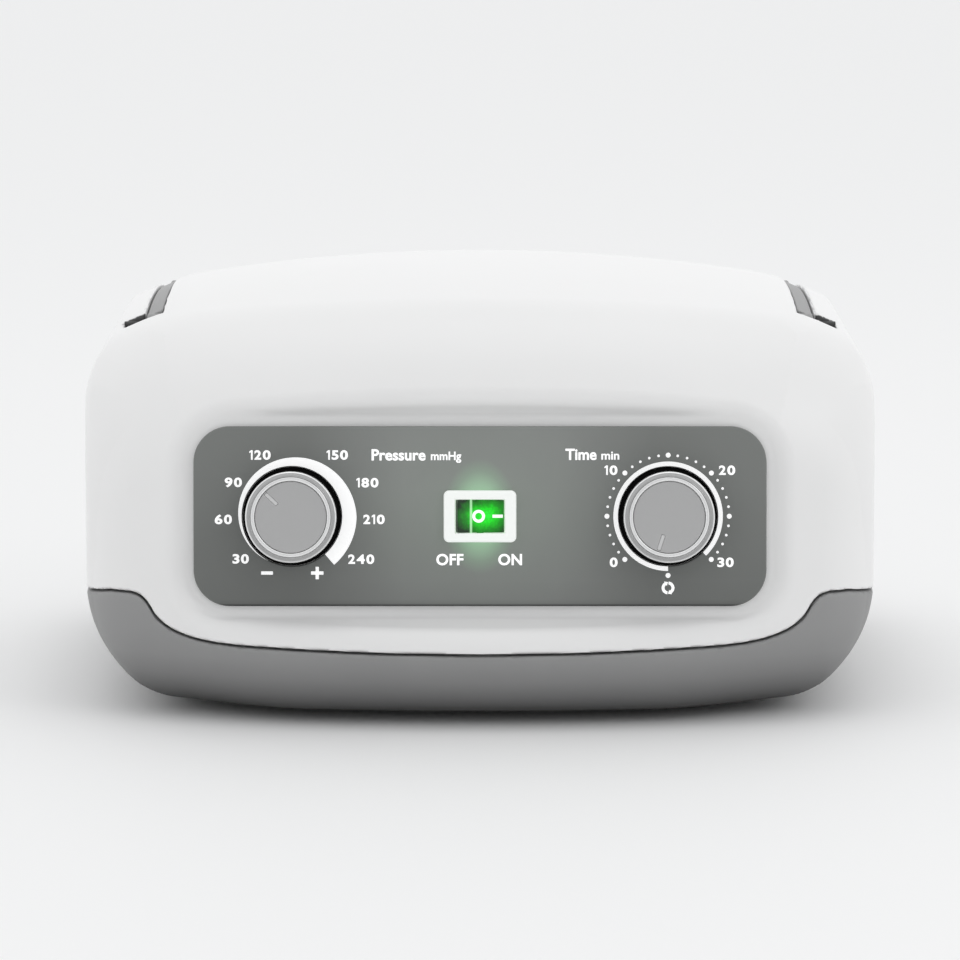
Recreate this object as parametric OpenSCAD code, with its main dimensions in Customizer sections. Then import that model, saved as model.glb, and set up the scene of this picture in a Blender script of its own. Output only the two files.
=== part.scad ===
// Table-top compression pump: a domed housing on a bowl-shaped tray, a sunken panel with two
// dials and a rocker switch, a folding carry handle, a linear compressor and a rotary air
// distributor. Millimetres, X to the right, Y to the back, Z up, origin under the feet.

/* [Housing] */
// Width of the housing at mid depth
body_w = 234; // [231:1:237]
// Depth of the housing at its middle
body_d = 190; // [188:1:192]
// Height of the dome's crown above the table
body_h = 125.2; // [124:0.2:126]
// Height of the rubber feet below the tray
foot_h = 2.5; // [2:0.5:4]
// Lean of the front, in degrees from upright
front_lean = 8; // [6:0.5:9]
// Radius of the front's gentle bow, seen from above
front_bow = 420; // [400:10:600]
// Height of the seam between hood and tray at the sides
seam_side_z = 37; // [36:0.5:38]
// Height of the seam at the middle of the front
seam_mid_z = 22; // [21:0.2:23]

/* [Panel] */
// Width of the control panel
panel_w = 165.5; // [160:0.5:166]
// Height of the control panel
panel_h = 52; // [48:0.5:54]
// Corner radius of the control panel
panel_r = 10.5; // [8:0.5:14]
// Height of the panel's middle above the table
panel_z = 60; // [59:0.5:61]
// Thickness of the control panel
panel_t = 2; // [1.6:0.1:2.2]
// Distance from the switch to each dial
dial_x = 54.3; // [52:0.1:56]

/* [Dials] */
// Outer radius of a dial
knob_r = 13.1; // [12.9:0.05:13.4]
// Radius of a dial's face disc
cap_r = 10.35; // [9:0.05:10.5]
// Radius of a dial's shaft
shaft_r = 3; // [2.5:0.1:3.2]
// Angle of the pressure pointer, clockwise from the top
pressure_at = -47; // [-135:1:135]
// Angle of the time pointer, clockwise from the top
time_at = -162; // [-180:1:135]

/* [Switch] */
// Width of the switch bezel
bezel_w = 21; // [20:0.1:22]
// Height of the switch bezel
bezel_h = 15; // [14:0.1:16]

/* [Handle] */
// Distance from the middle to each handle arm
arm_x = 97; // [96.8:0.1:97.4]
// Thickness of a handle arm
arm_w = 4.8; // [4.4:0.1:5]
// Place of the handle pivot, front to back
pivot_y = -28; // [-30:1:-26]
// Place of the folded handle bar, front to back
bar_y = 76; // [75:0.5:77]

/* [Hidden] */
$fn = 48;

// Colours
hood_white = [0.93, 0.93, 0.92];
tray_grey = [0.52, 0.52, 0.52];
panel_grey = [0.40, 0.41, 0.40];
knob_grey = [0.66, 0.66, 0.66];
arm_grey = [0.64, 0.64, 0.64];
dark = [0.10, 0.10, 0.11];
steel = [0.72, 0.73, 0.74];
brass = [0.78, 0.63, 0.30];
copper = [0.72, 0.42, 0.22];

// ---- Shape of the housing ----
wall = 3;
seam_gap = 0.6;
front_y = -body_d / 2;
rear_y = body_d / 2;
rear_bow = 900;
rear_lean = 3;
side_bow = 1200;
crown_y = 8.5;
crown_r = 314;
crown_side_r = 550;
front_edge_r = 32;
rear_edge_r = 16;
base_front_r = 20;
base_side_r = 36;
corner_r = 15;
// Softness of the blends between faces that meet at a shallow angle
crown_soft = 2;
shoulder_soft = 1;
flank_soft = 3;
// Shoulder and side facets: normal across, normal up, distance from the axis
shoulder = [0.4035, 0.9150, body_h + 19.8];
chamfer = [0.8740, 0.4870, body_h + 22.8];

// Fillet of radius r where the fields a and b cross; a field is negative inside
function blend(a, b, r) = min(max(a, b), -r) + norm([max(a + r, 0), max(b + r, 0)]);
function clamp01(t) = min(max(t, 0), 1);
function dome_drop(y) = (y - crown_y) * (y - crown_y) / (2 * crown_r);
function front_field(p) = front_y - p.y + (p.z - seam_mid_z) * tan(front_lean) + p.x * p.x / (2 * front_bow);
function rear_field(p) = p.y - rear_y + (p.z - seam_mid_z) * tan(rear_lean) + p.x * p.x / (2 * rear_bow);
function side_field(p) = abs(p.x) - body_w / 2 + p.y * p.y / (2 * side_bow);
function top_field(p) = p.z + dome_drop(p.y) - body_h + p.x * p.x / (2 * crown_side_r);
function shoulder_field(p) =
    shoulder[0] * abs(p.x) + shoulder[1] * (p.z + dome_drop(p.y)) - shoulder[2];
function chamfer_field(p) = chamfer[0] * abs(p.x) + chamfer[1] * p.z - chamfer[2];
function upper_field(p) = blend(top_field(p), shoulder_field(p), crown_soft);
function flank_field(p) = blend(side_field(p), chamfer_field(p), flank_soft);
function corner_at(p) = shoulder_soft + (corner_r - shoulder_soft) * clamp01((abs(p.y) - 46) / 24);
function front_rear_field(p) =
    blend(rear_field(p), blend(front_field(p), upper_field(p), front_edge_r), rear_edge_r);
function hood_field(p) = blend(front_rear_field(p), flank_field(p), corner_at(p));
function ease(t) = t * t * (3 - 2 * t);
function base_edge_at(p) = base_front_r + (base_side_r - base_front_r) * ease(clamp01((abs(p.x) - 50) / 60));
function body_field(p) = blend(hood_field(p), foot_h - p.z, base_edge_at(p));

// Distance along direction d from a point q inside the body to t below its surface, by halving
function reach(q, d, t, lo, hi, n) =
    n == 0 ? (lo + hi) / 2
    : body_field(q + d * (lo + hi) / 2) < -t ? reach(q, d, t, (lo + hi) / 2, hi, n - 1)
    : reach(q, d, t, lo, (lo + hi) / 2, n - 1);

// A rounded core box; rays leave it square to its faces and fan out at its edges
core = [96, 68];
core_r = 12;
core_lo = 34;
core_hi = 88;
front_steps = 12;
side_steps = 8;
corner_steps = 6;
// One quarter turn of core columns: the straight run of a side, then its corner
function core_run(from, to, n, turn) = [for (i = [0:n - 1]) concat(from + (to - from) * i / n, [turn])];
function core_corner(c, turn) =
    [for (i = [0:corner_steps - 1])
        let (a = turn + 90 * i / corner_steps) concat(c + core_r * [cos(a), sin(a)], [a])];
in_x = core.x - core_r;
in_y = core.y - core_r;
core_columns = concat(
    core_run([-in_x, -core.y], [in_x, -core.y], front_steps, -90), core_corner([in_x, -in_y], -90),
    core_run([core.x, -in_y], [core.x, in_y], side_steps, 0), core_corner([in_x, in_y], 0),
    core_run([in_x, core.y], [-in_x, core.y], front_steps, 90), core_corner([-in_x, in_y], 90),
    core_run([-core.x, in_y], [-core.x, -in_y], side_steps, 180), core_corner([-in_x, -in_y], 180));
// Core rows: how far out from the axis, height, and tilt of the ray
core_rows = concat(
    [for (k = [0.35, 0.7, 0.85, 1]) [k, core_lo, -90]],
    [for (a = [-75:15:-15]) [1, core_lo, a]],
    [for (i = [0:6]) [1, core_lo + (core_hi - core_lo) * i / 6, 0]],
    [for (a = [10:10:90]) [1, core_hi, a]],
    [for (k = [0.8, 0.6, 0.4, 0.2]) [k, core_hi, 90]]);

all_rows = [0:28];
// The inner skins are drawn coarser, but follow the flat floor to its edge
inner_rows = [1, 2, 3, 5, 7, 9, 12, 15, 18, 21, 24, 27];

function skin_point(col, row, t) =
    let (q = [col[0] * row[0], col[1] * row[0], row[1]],
         d = [cos(row[2]) * cos(col[2]), cos(row[2]) * sin(col[2]), sin(row[2])])
    q + d * reach(q, d, t, 0, 60, 18);

// The body as one closed skin, drawn in by t, through the given rows of the core
module skin(t, picked) {
    cols = len(core_columns);
    used = [for (j = picked) core_rows[j]];
    rows = len(used);
    ring = [for (row = used) for (col = core_columns) skin_point(col, row, t)];
    bottom = [0, 0, foot_h + t];
    top = [0, 0, core_hi + reach([0, 0, core_hi], [0, 0, 1], t, 0, 60, 18)];
    last = rows * cols;
    quads = [for (j = [0:rows - 2]) for (i = [0:cols - 1])
        let (a = j * cols + i, b = j * cols + (i + 1) % cols)
        each [[a, a + cols, b], [b, a + cols, b + cols]]];
    low_fan = [for (i = [0:cols - 1]) [last, i, (i + 1) % cols]];
    high_fan = [for (i = [0:cols - 1])
        [last + 1, (rows - 1) * cols + (i + 1) % cols, (rows - 1) * cols + i]];
    polyhedron(points = concat(ring, [bottom, top]), faces = concat(quads, low_fan, high_fan));
}

// Seam line across the body, as distance from the middle and height: a shallow arc that sweeps
// up in an S to a soft corner, then sinks a little along the side
seam_points = [
    [30, 22.3], [52, 22.9], [70, 23.6], [77, 24.2], [82.3, 25.1], [86, 26.2], [88.5, 27.2],
    [91, 28.6], [93, 30.2], [94.6, 32.1], [95.4, 33.6], [96.2, 34.9], [97.2, 36.1], [98.4, 37],
    [99.8, 37.6], [101.4, 37.9], [107, 37.8], [114, 36.2], [118, 35.2], [130, 35.2]
];
// Heights above keep their place while the two seam dimensions move the middle and the sides
function seam_shift(x) =
    let (t = clamp01((x - 77) / 24))
    (seam_mid_z - 22) * (1 - t) + (seam_side_z - 37) * t;
seam_half = [for (p = seam_points) [p.x, p.y + seam_shift(p.x)]];
seam_line = concat(
    [for (i = [len(seam_half) - 1:-1:0]) [-seam_half[i].x, seam_half[i].y]],
    [[0, seam_mid_z]],
    seam_half);

// Prism across the depth, from the seam line moved by dz to the level z_end
module seam_prism(dz, z_end) {
    rotate([90, 0, 0])
        linear_extrude(height = 240, center = true)
            polygon(concat([for (p = seam_line) [p.x, p.y + dz]], [[130, z_end], [-130, z_end]]));
}

// Hollow inside of the housing; material is left behind the pocket, the grooves and the ledge
module cavity() {
    difference() {
        skin(wall, inner_rows);
        pocket_cutter(floor_t);
        for (side = [-1, 1])
            groove(side, 2);
        rear_ledge(2.5);
        translate([-rear_plate_w / 2 - 3, rear_plate_y - rear_plate_t - 2.5, rear_z - rear_plate_h / 2 - 3])
            cube([rear_plate_w + 6, 20, rear_plate_h + 6]);
    }
}

// ---- Panel frame: local Z is the panel's outward normal, local Y runs up the panel ----
floor_y = front_y + (panel_z - seam_mid_z) * tan(front_lean) + 9 + panel_t;
floor_t = 2.6;
module on_panel(x = 0, v = 0, h = 0) {
    translate([0, floor_y, panel_z])
        rotate([90 - front_lean, 0, 0])
            translate([x, v, h])
                children();
}

module rounded_plate(w, h, r, t) {
    linear_extrude(height = t)
        union() {
            square([w - 2 * r, h], center = true);
            square([w, h - 2 * r], center = true);
            for (sx = [-1, 1], sy = [-1, 1])
                translate([sx * (w / 2 - r), sy * (h / 2 - r)])
                    circle(r = r);
        }
}

// Flared cutter for the panel pocket, made t larger on every side for the material behind it
pocket_margin = 3.2;
pocket_flare = 0.5;
pocket_rise = 0.07;
module pocket_cutter(t) {
    depth = 14;
    on_panel()
        hull()
            for (sx = [-1, 1], sy = [-1, 1], h = [-t, depth])
                translate([sx * (panel_w / 2 - panel_r), sy * (panel_h / 2 - panel_r) + pocket_rise * h, h])
                    cylinder(r = panel_r + pocket_margin + t + pocket_flare * (h + t), h = 0.01, $fn = 32);
}

// ---- Handle geometry: arms are arcs about a far axis below the dome ----
arc_z = body_h - crown_r;
arm_in_x = arm_x - arm_w / 2;
arm_high = (shoulder[2] - shoulder[0] * arm_in_x) / shoulder[1] - arc_z - 1;
arm_high_out = arm_high - arm_w * shoulder[0] / shoulder[1];
arm_mid = arm_high - 5.5;
arm_low = arm_mid - 5.2;
function arc_angle(y) = asin((crown_y - y) / arm_mid);
function arc_height(y) = arc_z + arm_mid * cos(arc_angle(y));
pivot_z = arc_height(pivot_y);
bar_z = arc_height(bar_y);
pin_r = 2;
pin_play = 0.05;
arm_eye_r = 4.4;
arm_eye_w = arm_w - 0.4;
bar_r = 4;
grip_r = 7;
groove_play = 0.35;
groove_front_y = pivot_y - 6;
groove_low = arm_low - 0.6;

// Ring segment from y0 to y1 whose cross-section (radius, x) is given
module arc_bar(y0, y1, section) {
    a0 = arc_angle(y0);
    a1 = arc_angle(y1);
    translate([0, crown_y, arc_z])
        rotate([0, 90, 0])
            rotate([0, 0, 180 + a1])
                rotate_extrude(angle = a0 - a1, $fn = 720)
                    polygon(section);
}

// Slot for one arm, made t larger on every side
module groove(side, t) {
    x0 = side * (arm_x - arm_w / 2 - groove_play - t);
    x1 = side * (arm_x + arm_w / 2 + groove_play + t);
    lo = min(x0, x1);
    hi = max(x0, x1);
    arc_bar(groove_front_y - t, bar_y + t,
            [[groove_low - t, lo], [arm_high + 20, lo], [arm_high + 20, hi], [groove_low - t, hi]]);
}

// Open ledge along the top of the rear, where the bar lies, with a finger scoop under it
ledge_y = 67.5;
ledge_z = 94.5;
ledge_x = 101.4;
scoop_z = 84;
scoop_x = 42;
module rear_ledge(t) {
    translate([-ledge_x - t, ledge_y - t, ledge_z - t])
        cube([2 * (ledge_x + t), 40, 60]);
    translate([-scoop_x - t, ledge_y - t, scoop_z - t])
        cube([2 * (scoop_x + t), 40, 20]);
}

notch_x = 105.6;
notch_low = 6.5;
// Everything that the handle needs cut out of the hood
module handle_cuts() {
    rear_ledge(0);
    for (side = [-1, 1]) {
        groove(side, 0);
        mid_x = (arm_x + arm_w / 2 + notch_x) / 2;
        translate([side * mid_x, groove_front_y + 3.7, pivot_z + 16 - notch_low])
            cube([notch_x - arm_x - arm_w / 2, 7.4, 32], center = true);
        translate([side * arm_x, pivot_y, pivot_z])
            rotate([0, 90, 0])
                cylinder(r = pin_r, h = 18, center = true);
    }
}

// Solid blocks in which the pivot pins are held
module pin_blocks() {
    for (side = [-1, 1])
        translate([side * (arm_x + 1), pivot_y, pivot_z - 2.5])
            cube([20, 17, 16], center = true);
}

// ---- Screw posts ----
post_r = 5;
post_at = [[-88, -50], [88, -50], [-88, 64], [88, 64]];
post_top = 52;
rib_z = 43;
screw_r = 1.6;
screw_head_r = 3.2;
screw_head_z = 6;

module posts() {
    for (p = post_at)
        translate([p.x, p.y, 4])
            cylinder(r = post_r, h = post_top - 4);
}

module post_ribs() {
    for (p = post_at)
        translate([p.x > 0 ? p.x : p.x - 26, p.y - 1.2, rib_z])
            cube([26, 2.4, post_top - rib_z]);
}

// ---- Rear plate ----
rear_plate_w = 148;
rear_plate_h = 44;
rear_plate_y = 90;
rear_plate_t = 2.5;
rear_z = 56;
module on_rear(x = 0, v = 0, y = 0) {
    translate([x, y, rear_z + v])
        rotate([-90, 0, 0])
            children();
}

// ---- Housing nodes ----
module upper_shell() {
    color(hood_white)
        difference() {
            intersection() {
                union() {
                    difference() {
                        skin(0, all_rows);
                        cavity();
                    }
                    posts();
                    post_ribs();
                    intersection() {
                        pin_blocks();
                        skin(1, inner_rows);
                    }
                }
                seam_prism(seam_gap / 2, 180);
            }
            pocket_cutter(0);
            handle_cuts();
            for (s = [-1, 1])
                on_panel(s * dial_x, 0, -6)
                    cylinder(r = 4.6, h = 12);
            on_panel(0, 0, 0)
                cube([19.4, 13.2, 12], center = true);
            for (p = post_at)
                translate([p.x, p.y, 20])
                    cylinder(r = 1.45, h = 28);
            translate([-rear_plate_w / 2 - 0.2, rear_plate_y - rear_plate_t, rear_z - rear_plate_h / 2 - 0.2])
                cube([rear_plate_w + 0.4, 20, rear_plate_h + 0.4]);
            translate([-rear_plate_w / 2 + 4, 70, rear_z - 17])
                cube([rear_plate_w - 8, 40, 34]);
        }
}

foot_r = 9;
foot_at = [[-70, -50], [70, -50], [-62, 60], [62, 60]];
filter_at = [-36, -42];
vent_at = [30, -44];

module lower_tray() {
    color(tray_grey)
        difference() {
            union() {
                difference() {
                    skin(0, all_rows);
                    skin(wall, inner_rows);
                    seam_prism(-seam_gap / 2, 180);
                }
                // Lip that stands up inside the hood and hides the seam
                difference() {
                    intersection() {
                        skin(wall + 0.25, inner_rows);
                        seam_prism(-4, 60);
                    }
                    seam_prism(2.2, 80);
                    skin(wall + 1.6, inner_rows);
                }
                // Foot of the lip, joined to the wall below the seam
                difference() {
                    intersection() {
                        skin(wall - 0.5, inner_rows);
                        seam_prism(-4, 60);
                    }
                    seam_prism(-seam_gap / 2, 80);
                    skin(wall + 1.6, inner_rows);
                }
                intersection() {
                    posts();
                    seam_prism(-seam_gap / 2, -20);
                }
                // Bearing post for the rotor of the distributor
                translate([dist_at.x, dist_at.y, 4])
                    cylinder(r = 6, h = 22);
            }
            for (p = post_at) {
                translate([p.x, p.y, 0])
                    cylinder(r = 1.9, h = 40);
                translate([p.x, p.y, -1])
                    cylinder(r = 3.5, h = screw_head_z + 4.5);
            }
            for (p = foot_at)
                translate([p.x, p.y, 0])
                    cylinder(r = 2.9, h = 12);
            translate([dist_at.x, dist_at.y, 10])
                cylinder(r = 3.05, h = 30);
            translate([filter_at.x, filter_at.y, -1])
                cylinder(r = 12, h = 12);
            for (i = [-3:3])
                translate([vent_at.x + i * 6 - 1.2, vent_at.y - 12, -1])
                    cube([2.4, 24, 12]);
        }
}

module rear_plate() {
    color(panel_grey)
        difference() {
            on_rear(0, 0, rear_plate_y - rear_plate_t)
                rounded_plate(rear_plate_w, rear_plate_h, 3, rear_plate_t);
            translate([inlet_x - 14, rear_plate_y - 5, rear_z - 10.25])
                cube([28, 10, 20.5]);
            for (v = fuse_vs)
                on_rear(fuse_x, v, rear_plate_y - 5)
                    cylinder(r = 5.6, h = 10);
            for (p = nozzle_at)
                on_rear(p.x, p.y, rear_plate_y - 5)
                    cylinder(r = 4, h = 10);
        }
}

module rating_plate() {
    color(steel)
        translate([-30, 4, foot_h - 0.4])
            cube([60, 30, 0.4]);
}

module rubber_feet() {
    color(dark)
        for (p = foot_at)
            translate([p.x, p.y, 0])
                rotate_extrude()
                    polygon([[0, 0], [foot_r - 1, 0], [foot_r, 1], [foot_r, foot_h], [2.9, foot_h],
                             [2.9, 6.2], [3.6, 6.2], [2.4, 8.5], [0, 8.5]]);
}

module housing_screws() {
    color(steel)
        for (p = post_at)
            translate([p.x, p.y, screw_head_z])
                difference() {
                    rotate_extrude()
                        polygon([[0, 0], [screw_head_r, 0], [screw_head_r, 3.5], [screw_r, 3.5],
                                 [screw_r, 11], [1.4, 11], [1.4, 38], [0, 40]]);
                    cube([4.4, 0.8, 2.4], center = true);
                    cube([0.8, 4.4, 2.4], center = true);
                }
}

module filter_cover() {
    color(dark)
        translate([filter_at.x, filter_at.y, 0])
            difference() {
                rotate_extrude()
                    polygon([[0, 1.3], [14, 1.3], [14, foot_h], [11.9, foot_h], [11.9, 4.6], [0, 4.6]]);
                for (i = [-3:3])
                    translate([i * 3 - 0.7, -sqrt(81 - 9 * i * i / 1.2), 0])
                        cube([1.4, 2 * sqrt(81 - 9 * i * i / 1.2), 6]);
            }
}

module filter_felt() {
    color([0.85, 0.85, 0.80])
        translate([filter_at.x, filter_at.y, 4.6])
            cylinder(r = 11.6, h = 3);
}

// ---- Control panel nodes ----
module front_panel() {
    color(panel_grey)
        on_panel()
            difference() {
                rounded_plate(panel_w, panel_h, panel_r, panel_t);
                for (s = [-1, 1])
                    translate([s * dial_x, 0, -1])
                        cylinder(r = 14.4, h = 5);
                cube([19.4, 13.2, 12], center = true);
            }
}

module seal_washers() {
    color(dark)
        for (s = [-1, 1])
            on_panel(s * dial_x, 0, 0)
                difference() {
                    cylinder(r = 14.2, h = 0.8);
                    translate([0, 0, -1])
                        cylinder(r = 4.7, h = 3);
                }
}

module shaft_nuts() {
    color(steel)
        for (s = [-1, 1])
            on_panel(s * dial_x, 0, 0.8)
                difference() {
                    cylinder(r = 7, h = 2.2, $fn = 6);
                    translate([0, 0, -1])
                        cylinder(r = 4.5, h = 5);
                }
}

cap_floor = 10.3;
module knob(x) {
    color(knob_grey)
        on_panel(x)
            rotate_extrude($fn = 96)
                polygon([[shaft_r, 4], [6.5, 4], [6.5, 8.2], [11.2, 8.2], [11.2, 1.2], [knob_r, 1.2],
                         [knob_r, 10.6], [12.6, 11], [11.75, 10.7], [11.4, 11.6], [cap_r, 11.6],
                         [cap_r, cap_floor], [0, cap_floor], [0, 9], [shaft_r, 9]]);
}

// Face disc with its pointer groove at angle a, clockwise from the top
module knob_cap(x, a) {
    color([0.72, 0.72, 0.72])
        on_panel(x)
            difference() {
                translate([0, 0, cap_floor])
                    cylinder(r = cap_r, h = 0.9, $fn = 96);
                rotate([0, 0, -a])
                    translate([-0.5, 5.2, cap_floor + 0.5])
                        cube([1, 4.6, 2]);
            }
}

module pressure_knob() {
    knob(-dial_x);
}

module pressure_knob_cap() {
    knob_cap(-dial_x, pressure_at);
}

module time_knob() {
    knob(dial_x);
}

module time_knob_cap() {
    knob_cap(dial_x, time_at);
}

// ---- Switch ----
window_w = 14.4;
window_h = 9.7;
rocker_axis_h = 1;
module switch_frame() {
    color(hood_white)
        on_panel()
            difference() {
                union() {
                    translate([0, 0, panel_t])
                        rounded_plate(bezel_w, bezel_h, 1.4, 1.8);
                    translate([-9.6, -6.5, -13])
                        cube([19.2, 13, 13 + panel_t]);
                }
                translate([-window_w / 2, -window_h / 2, -10])
                    cube([window_w, window_h, 20]);
                translate([0, 0, rocker_axis_h])
                    rotate([90, 0, 0])
                        cylinder(r = 1.05, h = 12, center = true);
            }
}

module switch_rocker() {
    color([0.05, 0.65, 0.12])
        on_panel(0, 0, rocker_axis_h)
            union() {
                rotate([90, 0, 0])
                    linear_extrude(height = window_h - 0.3, center = true)
                        polygon([[-6.4, 2.9], [-2.6, 1.1], [7.0, 0.3], [6.2, -3.2], [-6.2, -3.2],
                                 [-7.0, 0]]);
                rotate([90, 0, 0])
                    cylinder(r = 1, h = 11.8, center = true);
            }
}

module switch_lamp() {
    color([0.6, 1.0, 0.6])
        on_panel(0, 0, -10)
            cylinder(r = 2, h = 5.6);
}

module switch_terminals() {
    color(brass)
        for (x = [-6, 0, 6])
            on_panel(x, 0, -13)
                translate([-0.4, -2.4, -8])
                    cube([0.8, 4.8, 8]);
}

// ---- Pressure regulator ----
module regulator_body() {
    color([0.15, 0.15, 0.16])
        on_panel(-dial_x)
            difference() {
                union() {
                    translate([0, 0, -32])
                        cylinder(r = 12, h = 32 - floor_t);
                    translate([0, 0, -floor_t])
                        cylinder(r = 4.5, h = floor_t + 3.6);
                    translate([0, 0, -26])
                        rotate([0, 90, 0])
                            cylinder(r = 2.4, h = 22);
                    translate([0, 0, -26])
                        rotate([0, -90, 0])
                            cylinder(r = 2.4, h = 22);
                }
                translate([0, 0, -29])
                    cylinder(r = 9, h = 22);
                cylinder(r = shaft_r + 0.05, h = 40, center = true);
                translate([0, 0, -26])
                    rotate([0, 90, 0])
                        cylinder(r = 1.3, h = 50, center = true);
            }
}

module regulator_shaft() {
    color(steel)
        on_panel(-dial_x)
            translate([0, 0, -13])
                cylinder(r = shaft_r, h = 22);
}

module regulator_plunger() {
    color(brass)
        on_panel(-dial_x)
            difference() {
                translate([0, 0, -16])
                    cylinder(r = 8.8, h = 5);
                translate([0, 0, -20])
                    cylinder(r = shaft_r + 0.1, h = 12);
            }
}

spring_turns = 5;
spring_r = 6;
spring_wire_r = 0.5;
spring_low = -27.5;
spring_high = -16.5;
module regulator_spring() {
    steps = 16 * spring_turns;
    path = [for (i = [0:steps])
        [spring_r * cos(360 * i / 16), spring_r * sin(360 * i / 16),
         spring_low + (spring_high - spring_low) * i / steps]];
    color(steel)
        on_panel(-dial_x)
            tube(path, spring_wire_r, 6);
}

// ---- Timer ----
module timer_case() {
    color([0.80, 0.78, 0.70])
        on_panel(dial_x)
            difference() {
                union() {
                    translate([-18, -18, -26])
                        cube([36, 36, 26 - floor_t]);
                    translate([0, 0, -floor_t])
                        cylinder(r = 4.5, h = floor_t + 3.6);
                }
                translate([-16.2, -16.2, -24])
                    cube([32.4, 32.4, 18.5]);
                translate([0, 0, -25])
                    cylinder(r = shaft_r + 0.05, h = 40);
            }
}

module timer_shaft() {
    color(steel)
        on_panel(dial_x)
            translate([0, 0, -24.6])
                cylinder(r = shaft_r, h = 33.6);
}

module timer_cam() {
    color(brass)
        on_panel(dial_x)
            difference() {
                translate([0, 0, -15])
                    cylinder(r = 11, h = 4);
                translate([0, 0, -20])
                    cylinder(r = shaft_r, h = 12);
                rotate([0, 0, 40])
                    translate([9, -2, -20])
                        cube([6, 4, 12]);
            }
}

module timer_terminals() {
    color(brass)
        for (x = [-8, 0, 8])
            on_panel(dial_x + x, 0, -26)
                translate([-0.4, -2.4, -8])
                    cube([0.8, 4.8, 8]);
}

// ---- Handle ----
module handle_arm(side) {
    in_face = side * (arm_x - arm_w / 2);
    out_face = side * (arm_x + arm_w / 2);
    color(arm_grey)
        difference() {
            union() {
                arc_bar(pivot_y, bar_y,
                        [[arm_low, in_face], [arm_high, in_face], [arm_high_out, out_face],
                         [arm_low, out_face]]);
                translate([side * arm_x, pivot_y, pivot_z])
                    rotate([0, 90, 0])
                        cylinder(r = arm_eye_r, h = arm_eye_w, center = true);
                translate([side * arm_x, bar_y, bar_z])
                    rotate([0, 90, 0])
                        cylinder(r = grip_r, h = arm_eye_w, center = true);
            }
            translate([side * arm_x, pivot_y, pivot_z])
                rotate([0, 90, 0])
                    cylinder(r = pin_r + pin_play, h = 20, center = true);
            translate([side * arm_x, bar_y, bar_z])
                rotate([0, 90, 0])
                    cylinder(r = bar_r, h = 20, center = true);
        }
}

module handle_arm_left() {
    handle_arm(-1);
}

module handle_arm_right() {
    handle_arm(1);
}

module handle_bar() {
    color(steel)
        translate([0, bar_y, bar_z])
            rotate([0, 90, 0])
                cylinder(r = bar_r, h = 2 * arm_x + arm_w, center = true);
}

module handle_grip() {
    color([0.45, 0.45, 0.45])
        translate([0, bar_y, bar_z])
            rotate([0, 90, 0])
                difference() {
                    cylinder(r = grip_r, h = 2 * arm_x - arm_w, center = true);
                    cylinder(r = bar_r, h = 300, center = true);
                }
}

module handle_pins() {
    color(steel)
        for (side = [-1, 1])
            translate([side * arm_x, pivot_y, pivot_z])
                rotate([0, 90, 0])
                    cylinder(r = pin_r, h = 18, center = true);
}

// ---- Compressor ----
tray_floor = 5.5;
comp_y = 28;
comp_z = 42;
comp_x = -26;
mount_at = [for (sx = [-1, 1], sy = [-1, 1]) [comp_x + sx * 48, comp_y + sy * 20]];
module compressor_mounts() {
    color(dark)
        for (p = mount_at)
            translate([p.x, p.y, tray_floor])
                rotate_extrude()
                    polygon([[0, 0], [6, 0], [6, 2.5], [4, 3.75], [6, 5], [6, 7.5], [0, 7.5]]);
}

module compressor_plate() {
    color(steel)
        translate([comp_x - 55, comp_y - 28, 13])
            cube([110, 56, 2]);
}

module compressor_frame() {
    color([0.75, 0.75, 0.77])
        difference() {
            union() {
                translate([comp_x - 32, comp_y - 26, 15])
                    cube([64, 52, 54]);
                for (s = [-1, 1])
                    translate([comp_x + s * 33.5, comp_y, comp_z])
                        rotate([0, 90, 0])
                            cylinder(r = 24, h = 3, center = true);
            }
            translate([comp_x - 28, comp_y - 40, 19])
                cube([56, 80, 46]);
            translate([comp_x, comp_y, comp_z])
                rotate([0, 90, 0])
                    cylinder(r = 4, h = 90, center = true);
        }
}

module compressor_cores() {
    color([0.45, 0.46, 0.48])
        for (s = [-1, 1])
            translate([comp_x, comp_y, comp_z])
                scale([1, 1, s])
                    union() {
                        translate([-20, -16, 15])
                            cube([40, 32, 8]);
                        translate([-8, -14, 6])
                            cube([16, 28, 10]);
                    }
}

module compressor_coils() {
    color(copper)
        for (s = [-1, 1])
            translate([comp_x, comp_y, comp_z + s * 10.75])
                difference() {
                    cube([34, 42, 8], center = true);
                    cube([16, 28, 10], center = true);
                }
}

module compressor_armature() {
    color(steel)
        translate([comp_x, comp_y, comp_z])
            union() {
                translate([-14, -12, -3.5])
                    cube([28, 24, 7]);
                rotate([0, 90, 0])
                    cylinder(r = shaft_r, h = 84, center = true);
                for (s = [-1, 1])
                    translate([s * 42, 0, 0])
                        rotate([0, 90, 0])
                            cylinder(r = 12, h = 3, center = true);
            }
}

module compressor_magnets() {
    color(dark)
        for (s = [-1, 1])
            for (k = [-1, 1])
                translate([comp_x + s * 7, comp_y, comp_z + k * 4.25])
                    cube([12, 22, 1.5], center = true);
}

module diaphragms() {
    color([0.2, 0.2, 0.2])
        for (s = [-1, 1])
            translate([comp_x + s * 35.75, comp_y, comp_z])
                rotate([0, 90, 0])
                    difference() {
                        cylinder(r = 24, h = 1.5, center = true);
                        cylinder(r = shaft_r + 0.1, h = 5, center = true);
                    }
}

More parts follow.
